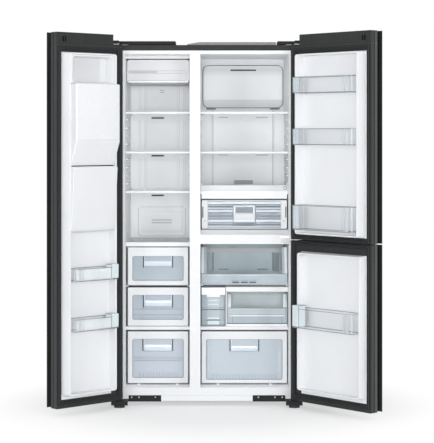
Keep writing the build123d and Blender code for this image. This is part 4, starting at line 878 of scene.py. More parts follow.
def screws(points, turn, name="screw_steel", radius=None, height=2.0):
    """Inputs for screws whose heads look up before they are turned."""
    if radius is None:
        radius = bpy.context.scene.refrigerator_fittings.screw_radius / MM
    return (points, {
        "Head radius": float(radius), "Head height": float(height),
        "Turn": tuple(math.radians(a) for a in turn), "Finish": finish(name),
    })


# Turns in degrees: screws look up and bars lie along X before they are turned
TO_FRONT = (90, 0, 0)
TO_BACK = (-90, 0, 0)
ALONG_Y = (0, 0, 90)
UPRIGHT = (0, 90, 0)


class PieceOperator(bpy.types.Operator):
    """Common ground of the operators that make pieces."""

    bl_options = {"REGISTER", "UNDO"}

    def make(self, context):
        raise NotImplementedError

    def execute(self, context):
        self.make(context)
        return {"FINISHED"}


class REFRIGERATOR_OT_cabinet(PieceOperator):
    """Dresses the cabinet's sheets, base and foam, and puts in the screws at the back."""

    bl_idname = "refrigerator.cabinet"
    bl_label = "Cabinet"

    def make(self, context):
        dress("wrapper_enamel", "cabinet_shell")
        dress("zinc", "back_panel", "machine_room_cover", "base_plate")
        dress("foam", "insulation")
        dress("white_enamel", "front_frame")
        dress("white_moulding", "kick_panel", "compartment_partition")
        dress("grey_moulding", "control_box_cover")
        x, y, z = size_of("back_panel")
        foot = size_of("machine_room_cover")[2]
        count = context.scene.refrigerator_fittings.back_screws
        points = []
        for side in inset(x, 9):
            for i in range(count):
                points.append((side, y[0] - 0.8, z[0] + 14 + i * (z[1] - z[0] - 28) / (count - 1)))
            points.append((side, y[0] - 0.8, foot[0] + 12))
        for i in range(1, 5):
            across = x[0] + 9 + i * (x[1] - x[0] - 18) / 5
            points += [(across, y[0] - 0.8, height) for height in (z[0] + 9, z[1] - 9, foot[1] - 9, foot[0] + 9)]
        grow(screws_tree(), [screws(points, TO_BACK, height=1.4)], "back_screws", "cabinet")


class REFRIGERATOR_OT_compartments(PieceOperator):
    """Liners, air ducts and the supports on the walls of the two compartments."""

    bl_idname = "refrigerator.compartments"
    bl_label = "Compartments"

    def make(self, context):
        # painted light: the liners and duct panels take the brighter copy of the white
        dress("white_cavity", "freezer_liner", "fridge_liner", "freezer_duct_panel", "fridge_duct_panel")
        self.supports(context.scene.refrigerator_fittings.rail_pitch / MM)
        self.freezer_back()
        self.freezer_head()
        self.fridge_cover()
        self.fridge_back()
        self.catch_and_plate()

    def supports(self, pitch):
        """Rounded rails moulded on the side walls between the shelves."""
        runs = []
        for liner, trims in (("freezer_liner", "freezer_shelf_trims"), ("fridge_liner", "fridge_shelf_trims")):
            room = inset(size_of(liner)[0], LINER_WALL)
            heights = [middle(part[2]) for part in wide_parts(trims, 300)]
            for upper, lower in zip(heights, heights[1:]):
                if lower < DRAWERS_TOP:
                    break
                count = int((upper - lower - 50) / pitch) + 1
                for side, wall in ((1, room[0]), (-1, room[1])):
                    start = (wall + side * 3.6, 232, upper - 34)
                    runs.append(bars(250, 8, 7, count, start, (0, 0, -pitch), "white_liner", ALONG_Y, 2.5))
        grow(bars_tree(), runs, "wall_supports", "cabinet")

    def freezer_back(self):
        """Slits over painted shadow, a bordered return grille, a small vent and painted shade lines along the edges of
        the ribs on the freezer's back.
        """
        form = Form()
        x, y, _ = size_of("freezer_duct_panel")
        face = y[0] + 1.5
        centre = middle(x)
        trims = [middle(part[2]) for part in parts_of("freezer_shelf_trims")]
        slit = (centre - 48, centre + 15)
        for height in (trims[0] - 21, trims[1] - 21, trims[2] - 32):
            form.block(slit, (face + 0.6, face + 1.8), about(height, 4), "slit_shadow")
            form.loft("Y", [
                (inset(slit, -2.5), about(height, 6), 3, face + 0.4),
                (inset(slit, -2.5), about(height, 6), 3, face - 0.7),
                (slit, about(height, 3.4), 1.5, face - 0.7),
                (slit, about(height, 3.4), 1.5, face + 0.4),
            ], "white_liner", closed=True)
        border = ((x[0] + 38, x[1] - 28), (trims[3] + 14, trims[2] - 90))
        form.ring("Y", *border, (16, 14), 3, face + 0.3, face - 1.2, "pale_grey")
        # painted light: the grille's panel takes the brighter copy of the white
        form.block(inset(border[0], 20), (face - 5, face + 0.2), (border[1][0] + 26, border[1][1] - 24),
                   "white_cavity", 2.5)
        for height in (trims[3] + 84, trims[3] + 98):
            form.block((centre - 47, centre + 56), (face - 5.8, face - 4), about(height, 2.6), "vent_grey", 1)
        for height in (trims[0] + 122, trims[0] + 112):
            form.block((centre - 5, centre + 18), (face - 0.8, face + 0.4), about(height, 1.6), "vent_grey", 0.5)
        rooms = [(trims[0] + 10, size_of("freezer_top_panel")[2][0] - 8)]
        rooms += [(lower + 10, upper - 34) for upper, lower in zip(trims, trims[1:3])]
        # painted shade: faint darker lines along both edges of each rib
        for rib in (-109, -79, 91, 121):
            for room in rooms:
                for side in (-4.6, 4.6):
                    form.block(about(centre + rib + side, 1.5), (face - 0.6, face + 0.4), room, "cavity_line", 0.3)
        form.done("freezer_duct_details", "cabinet")

    def freezer_head(self):
        """A deep cover over the freezer's fan, with rounded corners and a band across its face, painted a darker white
        for shade, with a ring of painted shade round its edge.
        """
        x, y, z = size_of("freezer_top_panel")
        front = HEAD_FRONT
        foot, head = z[0], z[1] - 7
        form = Form()
        form.loft("Y", [
            (inset(x, 2.6), (foot + 22, head - 2.6), 14, y[1]),
            (inset(x, 2.6), (foot + 4, head - 2.6), 14, front + 6),
            *drawn(x, (foot, head), (2.6, 14, front + 3), (3.4, 14, front + 0.8), (6, 12, front)),
        ], "head_white")
        # painted shade: a dark ring in the gap round the cover
        form.ring("Y", x, (foot + 6, head - 2), (14, 14), 3, front + 20, front + 6, "gap_dark")
        ceiling = size_of("freezer_liner")[2][1] - 2
        form.block(inset(x, -0.6), (front - 24, front + 34), (head + 1, ceiling), "white_moulding", 1)
        # the band: painted shade for a groove on its left half, two painted shade lines across and one up its right
        # end, a grey line of painted shade near the foot, and a lip painted brighter than the white, as a highlight, at
        # the foot
        band = (x[0] + 11, x[1] - 22)
        form.blocks(front, foot, (
            ((band[0], middle(band)), -0.5, 2, 48, 59, "head_band", 0.6),
            (band, -0.8, 2, 58.6, 61, "head_band", 0.6),
            (band, -0.8, 2, 45.6, 48.4, "head_band", 0.6),
            (band, -0.8, 2, 9.6, 13.4, "vent_grey", 0.6),
            ((band[1] + 2, band[1] + 4.4), -0.6, 2, 16, 58, "head_band", 0.6),
            (inset(x, 9), -2.4, 2, 1.4, 9, "lip_white", 1.4),
        ))
        form.done("freezer_head", "cabinet", "freezer_top_panel")

    def fridge_cover(self):
        """The cover at the head of the fridge's back: it stands proud, with a lip, a painted shaded band with a grey
        line of painted shade, painted shade towards its head, and painted shadow round its edge, at its clips and in
        its slit.
        """
        x, y, z = size_of("fridge_duct_panel")
        face = y[0]
        foot = z[1] - COVER_HEIGHT
        centre = middle(x)
        border = (inset(x, 5), (foot + 4, z[1] - 4))
        form = Form()
        form.ring("Y", *border, (30, 27), 3.5, face + 0.4, face - 3.5, "gap_shadow")
        form.loft("Y", drawn(*border, (4, 26, face + 0.4), (4, 26, face - 12), (6, 24, face - 14)), "cover_white")
        form.blocks(face, foot, (
            (inset(x, 12), -17, -12, 43, 48, "white_glossy", 1.5),
            (inset(x, 16), -15, -12, 17, 20, "pale_grey", 0.8),
            ((centre - 65, centre + 68), -15, -12, COVER_HEIGHT - 34, COVER_HEIGHT - 27, "slit_shadow", 0.8),
            (about(centre - 165, 24), -12, 0, -3, 5, "gap_shadow", 1),
            (about(centre + 165, 24), -12, 0, -3, 5, "gap_shadow", 1),
        ))
        form.done("fridge_top_cover", "cabinet")

    def fridge_back(self):
        """Slots and edge lines drawn grey as painted shade, and a slatted vent over a grey block of painted shade, on
        the fridge's back wall.
        """
        x, y, z = size_of("fridge_duct_panel")
        face = y[0] + 5
        centre = middle(x)
        form = Form()
        for trim in wide_parts("fridge_shelf_trims", 400)[:2]:
            height = middle(trim[2]) - 20
            for slot in ((centre - 124, centre - 76), (centre + 68, centre + 130)):
                form.block(slot, (face - 1.2, face + 1), (height, height + 4.5), "pale_grey", 1)
        for side in (-1, 1):
            form.block(about(centre + side * 155, 2), (face - 1.2, face + 6), (z[0] + 8, z[1] - COVER_HEIGHT - 6),
                       "pale_grey", 0.8)
        vent = (centre - 46, centre + 52)
        form.block(vent, (face - 0.8, face + 1), (z[0] + 209, z[0] + 230), "vent_grey", 1)
        form.done("fridge_duct_details", "cabinet")
        slats = bars(vent[1] - vent[0] - 4, 1.6, 1.6, 5, (middle(vent), face - 1.2, z[0] + 212), (0, 0, 3.8),
                     "pale_grey")
        grow(bars_tree(), [slats], "fridge_vent_slats", "cabinet")

    def catch_and_plate(self):
        """The catch with a ring of painted shadow round its button, a lip painted a darker white for shade and black
        ends of painted shadow over the chiller drawer, and the hinge's plate on the rail.
        """
        form = Form()
        wall = inset(size_of("fridge_liner")[0], LINER_WALL)[1]
        x, y, z = wide_parts("fridge_shelf_trims", 400)[2]
        height = z[1] + 13
        form.block((wall - 26, wall), (100, 112), about(height, 9), "white_moulding", 3)
        form.lathe("Y", (wall - 15, height), [(8, 101), (8.6, 99), (8, 96.4), (6, 96)], "gap_shadow")
        form.lathe("Y", (wall - 15, height), [(5, 99), (5, 95.6), (3.6, 95.2)], "white_glossy")
        form.block((wall - 120, wall - 26), (104, 107), (height - 6, height - 3.5), "pale_grey", 0.6)
        # painted shade: the lip over the chiller is a darker copy of the white
        form.block(inset(x, 1), (y[0] + 6, y[0] + 10), (z[1] - 1, z[1] + 26), "head_white", 1)
        for edge, way in zip(x, (1, -1)):
            # painted shadow: black ends in the gaps beside the chiller's cover
            form.block(beside(edge, way, 0, 4.4), (y[0] - 0.5, y[0] + 4), (z[0], z[0] + 24), "slot_black", 0.5)
        plate = size_of("middle_hinge")
        rail_face = size_of("front_frame")[1][0]
        across = (plate[0][0] + 3, plate[0][0] + 50)
        form.blocks(rail_face, plate[2][0], (
            (across, -0.2, 0.6, 10, 27, "seam_grey", 0.2),
            (across, -0.35, 0.6, 8.1, 10.7, "vent_grey", 0.3),
            (across, -0.35, 0.6, 26.3, 28.9, "vent_grey", 0.3),
        ))
        form.done("cover_catch", "cabinet")


class REFRIGERATOR_OT_cooling(PieceOperator):
    """The evaporator, condenser, compressor, fans and drip pan."""

    bl_idname = "refrigerator.cooling"
    bl_label = "Cooling parts"

    def make(self, context):
        dress("fin_aluminium", "evaporator", "condenser")
        dress("compressor_enamel", "compressor")
        dress("black_moulding", "drip_pan")
        dress("fan_plastic", "evaporator_fan", "condenser_fan")
        dress("motor_steel", "fan_motors")


class REFRIGERATOR_OT_hinges(PieceOperator):
    """Hinges, their covers and screws, the feet and the rollers."""

    bl_idname = "refrigerator.hinges"
    bl_label = "Hinges and feet"

    def make(self, context):
        dress("black_moulding", "hinge_covers", "bottom_hinges")
        dress("hinge_steel", "top_hinges")
        dress("pale_steel", "middle_hinge")
        dress("foot_rubber", "levelling_feet", "rear_rollers")
        points = [(side * across, -3.4, 41) for side in (-1, 1) for across in (250, 330, 365)]
        grow(screws_tree(), [screws(points, TO_FRONT, radius=4, height=1.6)], "bottom_hinge_screws", "cabinet")
        points = []
        for x, _, z in parts_of("hinge_covers"):
            points += [(x[0] + 14, 84, z[1] - 0.4), (x[1] - 14, 84, z[1] - 0.4)]
        grow(screws_tree(), [screws(points, (0, 0, 0), "black_moulding", height=1.2)], "cover_screws", "cabinet")


class REFRIGERATOR_OT_shelves(PieceOperator):
    """Glass shelves and their white front trims."""

    bl_idname = "refrigerator.shelves"
    bl_label = "Shelves"

    def make(self, context):
        dress("shelf_glass", "freezer_shelves", "fridge_shelves")
        dress("white_glossy", "freezer_shelf_trims", "fridge_shelf_trims")


def front_frame(form, x, z, front, window, radius, thickness=16, seam="gap_dark"):
    """A white front plate with a rounded window through it and a ring of painted shade in the seam round its edge."""
    form.ring("Y", x, z, (4, 4), 4, front + thickness, front + 2.4, seam)
    x, z = inset(x, 2.2), inset(z, 2.2)
    outside = drawn(x, z, (0, 4, front + thickness - 1), (0, 4, front + 2.2), (0.7, 4, front + 0.7), (2.4, 4, front))
    inside = drawn(*window, (-2.4, radius + 2, front), (-0.6, radius + 0.6, front + 0.8), (0, radius, front + 3),
                   (0, radius, front + thickness))
    form.loft("Y", outside + inside, "white_moulding", closed=True)
    # the window's rim shows as a thin tinted line
    form.ring("Y", *window, (radius, radius - 1), 1.8, front + 5.6, front + 4.6, "soft_edge")


def tub(form, x, y, z, wall, name, radius=6, lean=3):
    """An open box that narrows a little towards its foot."""
    form.loft("Z", drawn(
        x, y, (lean + 1.5, radius, z[0]), (lean, radius, z[0] + 2), (0, radius, z[1] - 1), (0.6, radius, z[1]),
        (wall - 0.6, radius - 1, z[1]), (wall, radius - 1, z[1] - 1), (lean + wall, radius - 1, z[0] + wall),
    ), name)


def hood(form, x, z, front, grip):
    """A finger pocket at a window's head: cheeks of painted shadow, a pocket of painted shade with a strip of painted
    shade over the grip, and a rounded clear grip.

    grip is the grip's lower and upper edge, as heights over the foot of the hood.
    """
    for cheek, way in ((x[0], 1), (x[1], -1)):
        form.block(about(cheek, 2.6), (front + 0.6, front + 15), z, "cheek_shadow", 0.9)
        form.block(beside(cheek, way, 3, 7.5), (front + 0.8, front + 15), (z[0] + 5, z[1]), "grip_clear", 0.8)
    inner = inset(x, 7.5)
    low, high = z[0] + grip[0], z[0] + grip[1]
    form.block(inner, (front + 11, front + 13), (high - 6, z[1]), "pocket_tint", 0.4)
    form.block(inner, (front + 7, front + 13), (high, high + 3.6), "cheek_tint", 0.8)
    form.profile("X", [
        (front + 4, low - 6), (front + 1.6, low + 2), (front + 0.7, middle((low, high))), (front + 1.8, high - 3),
        (front + 5, high), (front + 9, high - 2), (front + 10, middle((low, high))), (front + 8.6, low - 6),
    ], inner, "grip_clear", 0.6)
    form.block(inner, (front + 3, front + 9), (low - 9, low - 6.4), "soft_edge", 0.5)


class DrawerOperator(PieceOperator):
    """Common ground of the operators that make drawers."""

    def drawer(self, node, insets, handle, grip, pane):
        """A white front with a tinted window and a hood for the fingers, and a frosted tub behind it.

        insets are the window's distances from the side, the foot and the head of the front, and handle
        is the hood's left and right from the middle and its height.
        """
        side, foot, head = insets
        x, y, z = size_of(node)
        front = y[0]
        window = (inset(x, side), (z[0] + foot, z[1] - head))
        form = Form()
        front_frame(form, x, z, front, window, 8)
        form.block(inset(window[0], -2), (front + 6, front + 8), inset(window[1], -2), pane)
        # painted shade: a darker rim inside the window, standing in for the tub's wall seen edge-on through it
        (left, right), (low, high) = window
        for across, rise, soft in (
            ((left, left + 3), inset(window[1], 5), 0.5), (inset(window[0], 5), (low, low + 3.4), 0.5),
            ((right - 3, right), inset(window[1], 5), 0.5), (inset(window[0], 5), (high - 1.6, high), 0.4),
        ):
            form.block(across, (front + 4.8, front + 6.2), rise, "rim_tint", soft)
        tub(form, inset(x, 0.5), (front + 16.2, y[1]), (z[0] + 1, z[1] - 10), 2.5, "frosted_tub", 10)
        centre = middle(x)
        hood(form, (centre + handle[0], centre + handle[1]), (high - handle[2], high - 0.4), front, grip)
        return form, window, front, y[1]

    def ribs(self, context, window, front, back, height, rows):
        """Ribs that stand at the foot of the window and run back along the drawer's floor."""
        pitch = context.scene.refrigerator_fittings.rib_pitch / MM
        count = int((window[0][1] - window[0][0] - 30) / pitch)
        first = middle(window[0]) - pitch * (count - 1) / 2
        foot = window[1][0] + 5
        runs = [
            bars(height, 5, 1.8, count, (first, front + 5.4, foot + height / 2), (pitch, 0, 0), "rib_clear", UPRIGHT),
            bars(height * 0.8, 2.6, 1.6, count - 1, (first + pitch / 2, front + 5.6, foot + height * 0.4),
                 (pitch, 0, 0), "rib_shade", UPRIGHT),
            bars(back - front - 60, 3, 4, count, (first, middle((front + 30, back - 20)), window[1][0] - 8),
                 (pitch, 0, 0), "rib_clear", ALONG_Y),
        ]
        for rise, name, thick in rows:
            runs.append(bars(window[0][1] - window[0][0] - 12, thick, 1.4, 1,
                             (middle(window[0]), front + 5.2, window[1][0] + rise), (0, 0, 10), name))
        return runs


class REFRIGERATOR_OT_freezer_drawers(DrawerOperator):
    """The three drawers of the freezer."""

    bl_idname = "refrigerator.freezer_drawers"
    bl_label = "Freezer drawers"

    def make(self, context):
        plans = (
            ("freezer_drawer_top", "drawer_top", (24, 24, 45), (-71, 71, 57), (14, 34), 0, ()),
            ("freezer_drawer_middle", "drawer_middle", (24, 32, 39), (-71, 71, 62), (12, 37), 14,
             ((27, "rib_clear", 2.6), (24, "rib_shade", 2.4), (52, "rib_shade", 2.6), (56, "rib_clear", 2.2))),
            ("freezer_drawer_bottom", "drawer_bottom", (24, 28, 39), (-74, 71, 59), (6, 33), 26,
             ((106, "rib_clear", 3), (98, "rib_shade", 2), (92, "rib_clear", 6), (84, "rib_shade", 3.4))),
        )
        for node, body, insets, handle, grip, height, rows in plans:
            form, window, front, back = self.drawer(node, insets, handle, grip, "window_pane")
            form.done(node.replace("drawer", "front"), body, node)
            if height:
                runs = self.ribs(context, window, front, back, height, rows)
                grow(bars_tree(), runs, node.replace("drawer", "ribs"), body)


class REFRIGERATOR_OT_crisper(DrawerOperator):
    """The wide vegetable drawer at the foot of the fridge."""

    bl_idname = "refrigerator.crisper"
    bl_label = "Vegetable drawer"

    def make(self, context):
        node = "crisper_drawer"
        form, window, front, back = self.drawer(node, (24, 19, 41), (-70, 70, 58), (5, 28), "crisper_pane")
        (left, right), (foot, head) = window
        # painted highlights up the window's sides
        for edge, way, high in ((left, 1, 0.84), (right, -1, 0.7)):
            span = (foot + 0.2 * (head - foot), foot + high * (head - foot))
            form.block(beside(edge, way, 9, 21), (front + 5.4, front + 6.2), span, "soft_light", 0.3)
        # painted shade: darker bands in the hollow under the hood, with a faint light line at the head
        for low, high, name in ((13, 22, "panel_deep"), (22, 31, "rib_shade"), (1, 5, "strip_faint")):
            form.block(about(middle(window[0]), 61), (front + 9, front + 11.6), (head - high, head - low), name, 0.8)
        form.done("crisper_front", "crisper", node)
        grow(bars_tree(), self.ribs(context, window, front, back, 26, ()), "crisper_ribs", "crisper")


class REFRIGERATOR_OT_chiller(PieceOperator):
    """The drawer over the rail, with louvres across its front."""

    bl_idname = "refrigerator.chiller"
    bl_label = "Chiller drawer"

    def make(self, context):
        x, y, z = size_of("chiller_drawer")
        front, foot = y[0], z[0]
        centre = middle(x)
        form = Form()
        window = (inset(x, 32.5), inset(z, 6))
        # painted shadow: the seam round the chiller's front is black
        front_frame(form, x, z, front, window, 3, 14, "slot_black")
        tub(form, inset(x, 1), (front + 14.2, y[1]), (foot + 1, z[1] - 8), 2.5, "frosted_tub", 8)
        form.block(inset(window[0], -2), (front + 11, front + 13), inset(window[1], -2), "louvre_pane")
        # moulded bands across the window with painted light and shade on the louvres, pale for lit and deep for shaded,
        # from its head to its foot: low, high, depth behind the front, tone
        for low, high, stand, tone in (
            (134.4, 139.8, 4, "soft"), (124.4, 134, 3, "pale"), (119.6, 124, 6, "mid"), (114.6, 119.2, 5, "soft"),
            (109.8, 114.2, 7, "line"), (105, 109.4, 5, "soft"), (99.8, 104.6, 3, "pale"), (95.4, 99.4, 6, "mid"),
            (85.2, 95, 3, "pale"), (80.6, 84.8, 5, "mid"), (60.4, 80.2, 7, "deep"), (55.6, 60, 5, "soft"),
            (50.8, 55.2, 6, "mid"), (45.8, 50.4, 5, "soft"), (36, 45.4, 3, "pale"), (31.4, 35.6, 6, "mid"),
            (26.2, 31, 5, "soft"), (21.2, 25.8, 7, "deep"), (16.4, 20.8, 5, "soft"), (11.4, 16, 3, "pale"),
            (6.2, 11, 5, "soft"),
        ):
            form.block(window[0], (front + stand, front + 11), (foot + low, foot + high), "band_" + tone, 1.4)
        self.handle(form, about(centre, 57), (foot + 19, foot + 122), front)
        for edge, side in zip(x, (-1, 1)):
            mark = edge - side * 7.6
            post = edge - side * 30
            # painted shadow in the dark upright marks, with a painted highlight strip beside each
            form.blocks(front, foot, (
                (about(mark, 2.6), -0.4, 2, 58, 112, "slit_shadow", 0.8),
                (about(mark + side * 3.6, 1.4), -0.3, 2, 12, 134, "lip_white", 0.8),
                (about(post, 1.4), -0.3, 2, 6, z[1] - foot - 6, "pale_grey", 0.4),
            ))
            form.lathe("Y", (post + side * 12, foot + 42), [(4, front + 2), (4, front - 0.2), (3, front - 0.4)],
                       "band_soft", 16)
        form.done("chiller_front", "chiller", "chiller_drawer")
        count = context.scene.refrigerator_fittings.louvre_count
        step = (z[1] - foot - 40) / count
        width = window[0][1] - window[0][0] - 2
        grow(bars_tree(), [
            bars(width, 1.2, 1.2, count, (centre, front + 3.2, foot + 16), (0, 0, step), "band_soft"),
            bars(25, 2, 1.2, 11, (centre - 35, front + 0.5, foot + 96), (7, 0, 0), "band_line", UPRIGHT),
        ], "chiller_louvres", "chiller")

    def handle(self, form, x, z, front):
        """A framed hood with a ribbed pocket of painted shade over a broad grip painted a darker white for shade."""
        foot = z[0] + 6
        grip = inset(x, 7)
        form.blocks(front, foot, (
            (x, 1.6, 10, -6, z[1] - foot, "band_deep", 2),
            (inset(x, 3), 1, 10, 8, z[1] - foot - 5, "band_soft", 2),
            (inset(x, 13), 0.9, 10, 56, 86, "pocket_deep", 0.6),
            (about(x[0] + 10, 2.6), 0.4, 10, 50, 86, "white_glossy", 1),
            (about(x[1] - 10, 2.6), 0.4, 10, 50, 86, "white_glossy", 1),
        ))
        # painted shade: the grip is a darker copy of the white
        form.profile("X", [
            (front + 0.9, foot + 24), (front + 0.2, foot + 38), (front + 0.6, foot + 48), (front + 3, foot + 54),
            (front + 8, foot + 54), (front + 9, foot + 24),
        ], grip, "head_white", 1)
        form.blocks(front, foot, (
            (grip, 0.8, 9, 11, 23.4, "band_pale", 1),
            (inset(grip, 2), 0.6, 9, -4, 10.4, "line_deep", 1),
        ))


class OpenBox:
    """The clear walls that the tray and the wide bin share: low in front, sloped up to the sides."""

    WALL = 2.5

    def __init__(self, node, low, slope):
        self.x, self.y, self.z = size_of(node)
        self.low = self.z[0] + low
        self.slope = self.y[0] + slope
        self.inner = inset(self.x, self.WALL + 0.05)
        self.form = Form()

    def walls(self, back):
        """Sides, floor, back and front."""
        x, (front, rear), (foot, top), wall = self.x, self.y, self.z, self.WALL
        for side in (x[0], x[1] - wall):
            self.form.profile("X", [
                (front + wall, foot + 1), (rear, foot + 1), (rear, top), (self.slope, top), (front + 8, self.low),
                (front + wall, self.low),
            ], (side, side + wall), "clear_side", 0.8)
        self.form.block(self.inner, (front + 4, rear - wall), (foot, foot + wall), "clear_floor", 0.6)
        self.form.block(self.inner, (rear - wall, rear), (foot + 1, top), back, 0.8)
        self.form.block(x, (front + 0.9, front + wall + 0.6), (foot, self.low), "tray_front", 0.8)

    def flanges(self, rows, drop):
        """Strips up the sloped sides: near and far from the side, finish on the left and on the right."""
        front, top = self.y[0], self.z[1] - drop
        for near, far, *names in rows:
            for edge, way, name in zip(self.x, (1, -1), names):
                self.form.profile("X", [
                    (front + 9, self.low - 1), (self.slope + 1, top), (self.slope + 4, top), (front + 12, self.low - 1),
                ], beside(edge, way, near, far), name, 0.4)

    def rims(self, name):
        """Rods along the sloped and the level edges of the sides."""
        thick = 2.6
        top = self.z[1] - thick / 2
        for edge, way in zip(self.x, (1, -1)):
            side = edge + way * thick / 2
            bend = (side, self.slope, top)
            self.form.rod((side, self.y[0] + 9, self.low), bend, thick, name)
            self.form.rod(bend, (side, self.y[1], top), thick, "soft_edge")


class REFRIGERATOR_OT_tray_and_bins(PieceOperator):
    """The sliding tray under the rail and the two bins below it."""

    bl_idname = "refrigerator.tray_and_bins"
    bl_label = "Tray and bins"

    def make(self, context):
        self.tray()
        self.small_bin()
        self.wide_bin()

    def tray(self):
        """A clear tray with sloped sides, a tinted back and a finger grip with three slots."""
        box = OpenBox("sliding_tray", 55, 60)
        box.walls("tray_back")
        box.flanges(((0, 13, "strip_pale", "soft_white"), (13, 26, "tray_mid", "tray_mid"),
                     (26, 28, "side_tint", "clear_edge")), 3)
        box.rims("soft_white")
        form = box.form
        x, foot, centre = box.x, box.z[0], middle(box.x)
        # painted highlight: a light line under the front's rim
        form.blocks(box.y[0], foot, (
            (x, 0, 4, 52, 55, "clear_edge", 0.8),
            (inset(x, 3), 0.2, 3, 46, 51, "soft_light", 0.8),
            (x, 0, 3, 0, 3, "soft_edge", 0.8),
        ))
        # moulding on the back wall: a band at its head painted lighter against the rail's shadow, end panels edged with
        # painted shade and painted highlight lines, and two slots of painted shade under painted highlights
        back = box.y[1] - box.WALL
        rise = box.z[1] - foot
        form.blocks(back, foot, (
            (box.inner, -3, 0, rise - 56, rise - 34, "lip_white", 0.8),
            (box.inner, -2, 0, rise - 34, rise - 2, "tray_back", 0.8),
        ))
        for way, panel in ((-1, "tray_back"), (1, "side_tint")):
            form.blocks(back, foot, (
                (beside(centre, way, 158, 186), -4, 0, 30, rise - 56, panel, 0.8),
                (about(centre + way * 155, 2.6), -6, 0, 34, rise - 54, "cheek_tint", 0.8),
                (about(centre + way * 150, 1.6), -5, 0, 36, rise - 58, "strip_pale", 0.6),
                (about(centre + way * 198, 2), -5, 0, 34, rise - 60, "soft_edge", 0.6),
                (about(centre + way * 101, 26), -4, 0, 38, 42.5, "cheek_tint", 0.8),
                (about(centre + way * 101, 30), -3, 0, 43, 46, "strip_pale", 0.6),
            ))
        # finger grip with three slots: painted shade across the grip and over each slot
        front = box.y[0]
        form.ring("Y", about(centre, 68), (foot + 7, foot + 34), (4, 3), 3, front + 3, front + 0.2, "soft_edge")
        form.block(about(centre, 62), (front + 0.2, front + 3), (foot + 22, foot + 28), "cheek_tint", 1)
        for slot in (-42, 0, 42):
            across = about(centre + slot, 17)
            form.blocks(front, foot, (
                (across, 0, 3, 9, 14.5, "slit_shadow", 1.5),
                (across, 0.1, 3, 15, 21, "panel_tint", 1),
            ))
        form.done("tray_shell", "tray", "sliding_tray")

    def small_bin(self):
        """A clear box with a white grip across its head and a paler column down its middle."""
        x, y, z = size_of("small_bin")
        front, foot = y[0], z[0]
        centre = middle(x)
        rise = z[1] - foot
        form = Form()
        tub(form, x, (front + 12, y[1]), z, 2.5, "clear_side", 5, 2)
        form.block(inset(x, 2), (front + 14, front + 16), inset(z, 3), "side_tint")
        form.block(about(centre, 32), (front + 12.4, front + 17), (foot + 28, z[1] - 50), "tray_mid", 3)
        low, high = z[1] - 36, z[1] - 2
        form.profile("X", [
            (front + 14, high + 2), (front + 2, high + 2), (front, high - 2), (front, low), (front + 3, low),
            (front + 4, high - 4), (front + 14, high - 3),
        ], inset(x, 1), "grip_white", 0.9)
        form.block(about(centre, 33), (front + 8, front + 14), (low - 13, low + 3), "grip_white", 2)
        form.blocks(front, foot, [
            (beside(x[0], 1, 0, 2.8), 0, 14, 2, rise, "gap_shadow", 0.5),
            (beside(x[1], -1, 0, 2.8), 0, 14, 2, rise, "gap_shadow", 0.5),
            (inset(x, 3), 11, 15, 79, 83.6, "line_deep", 0.8),
            (inset(x, 4), 11.6, 15, 84, 88, "tray_mid", 0.8),
            (inset(x, 4), 11.6, 15, 88.4, 91, "panel_deep", 0.6),
            (inset(x, 28), 11, 15, 28, 32, "line_deep", 0.8),
            (inset(x, 29), 11, 15, 34, 43, "strip_pale", 1.5),
            (inset(x, 4), 11.4, 15, 7, 26, "side_tint", 1.5),
            (inset(x, 30), 11.2, 15, 7, 26, "strip_pale", 1.5),
            (inset(x, 3), 11, 16, 0.5, 4, "clear_edge", 0.6),
        ] + [(about(centre, 26), 12, 15, share * rise - 2, share * rise + 2, "strip_pale", 1)
             for share in (0.47, 0.56, 0.66)])
        form.done("small_bin_shell", "bin_small", "small_bin")

    def wide_bin(self):
        """A low-fronted clear bin with pale posts and a band across its front."""
        low = 92
        box = OpenBox("wide_bin", low, 50)
        box.walls("bin_back")
        form = box.form
        x, (front, rear), (foot, top) = box.x, box.y, box.z
        form.blocks(front, foot, (
            (x, 0, 4, low - 3, low, "clear_edge", 0.8),
            (inset(x, 12), 0.1, 3, low - 34, low - 5, "tray_mid", 1),
            (inset(x, 12), 0, 3, low - 43, low - 38, "soft_white", 1),
            (inset(x, 12), 0.3, 3, 17, low - 46, "side_tint", 1),
            (x, 0, 4, 11.4, 16, "line_deep", 0.8),
            (x, 0, 3, 0, 11, "soft_white", 0.8),
        ))
        form.block(box.inner, (rear - 3.4, rear), (top - 4, top), "soft_edge", 0.8)
        box.flanges(((0, 10, "strip_pale", "strip_pale"), (10, 20, "soft_white", "soft_white"),
                     (26, 28.4, "tray_mid", "tray_mid")), 2)
        box.rims("clear_edge")
        for edge, way in zip(x, (1, -1)):
            side = edge + way * 1.3
            form.rod((side, front + 1.4, foot + 12), (side, front + 1.4, foot + low), 2.6, "clear_edge")
            form.block(about(edge + way * 27, 1.6), (front + 0.2, front + 5), (foot + 14, foot + low - 40),
                       "panel_deep", 0.6)
        form.done("wide_bin_shell", "bin_wide", "wide_bin")


def seal(node, body):
    """A door seal: a soft ring with a groove along it."""
    x, y, z = size_of(node)
    form = Form()
    # the ring's section: distance drawn in, corner radius and place from the back or the front
    back, front = y
    rings = [(0.8, 4, back), (0, 5, back + 2)]
    rings += [(inward, radius, front - under) for inward, radius, under in (
        (0, 5, 2.6), (1.6, 5, 0.4), (3.4, 4, 0), (5.6, 4, 0.4), (6.4, 4, 2.4), (7.6, 4, 2.4), (8.4, 3, 0.4),
        (10.6, 3, 0), (12.6, 3, 0.6), (14, 3, 3))]
    rings.append((14, 3, back))
    form.loft("Y", drawn(x, z, *rings), "seal_rubber", closed=True, steps=3)
    form.done(node.replace("gasket", "seal"), body, node)


def dress_door(name, moulding):
    """The finishes of a door's parts, and its seal."""
    for part, used in (("panel", "door_steel"), ("frame", moulding), ("foam", "foam"), ("liner", "white_liner")):
        dress(used, name + "_" + part)
    seal(name + "_gasket", name)


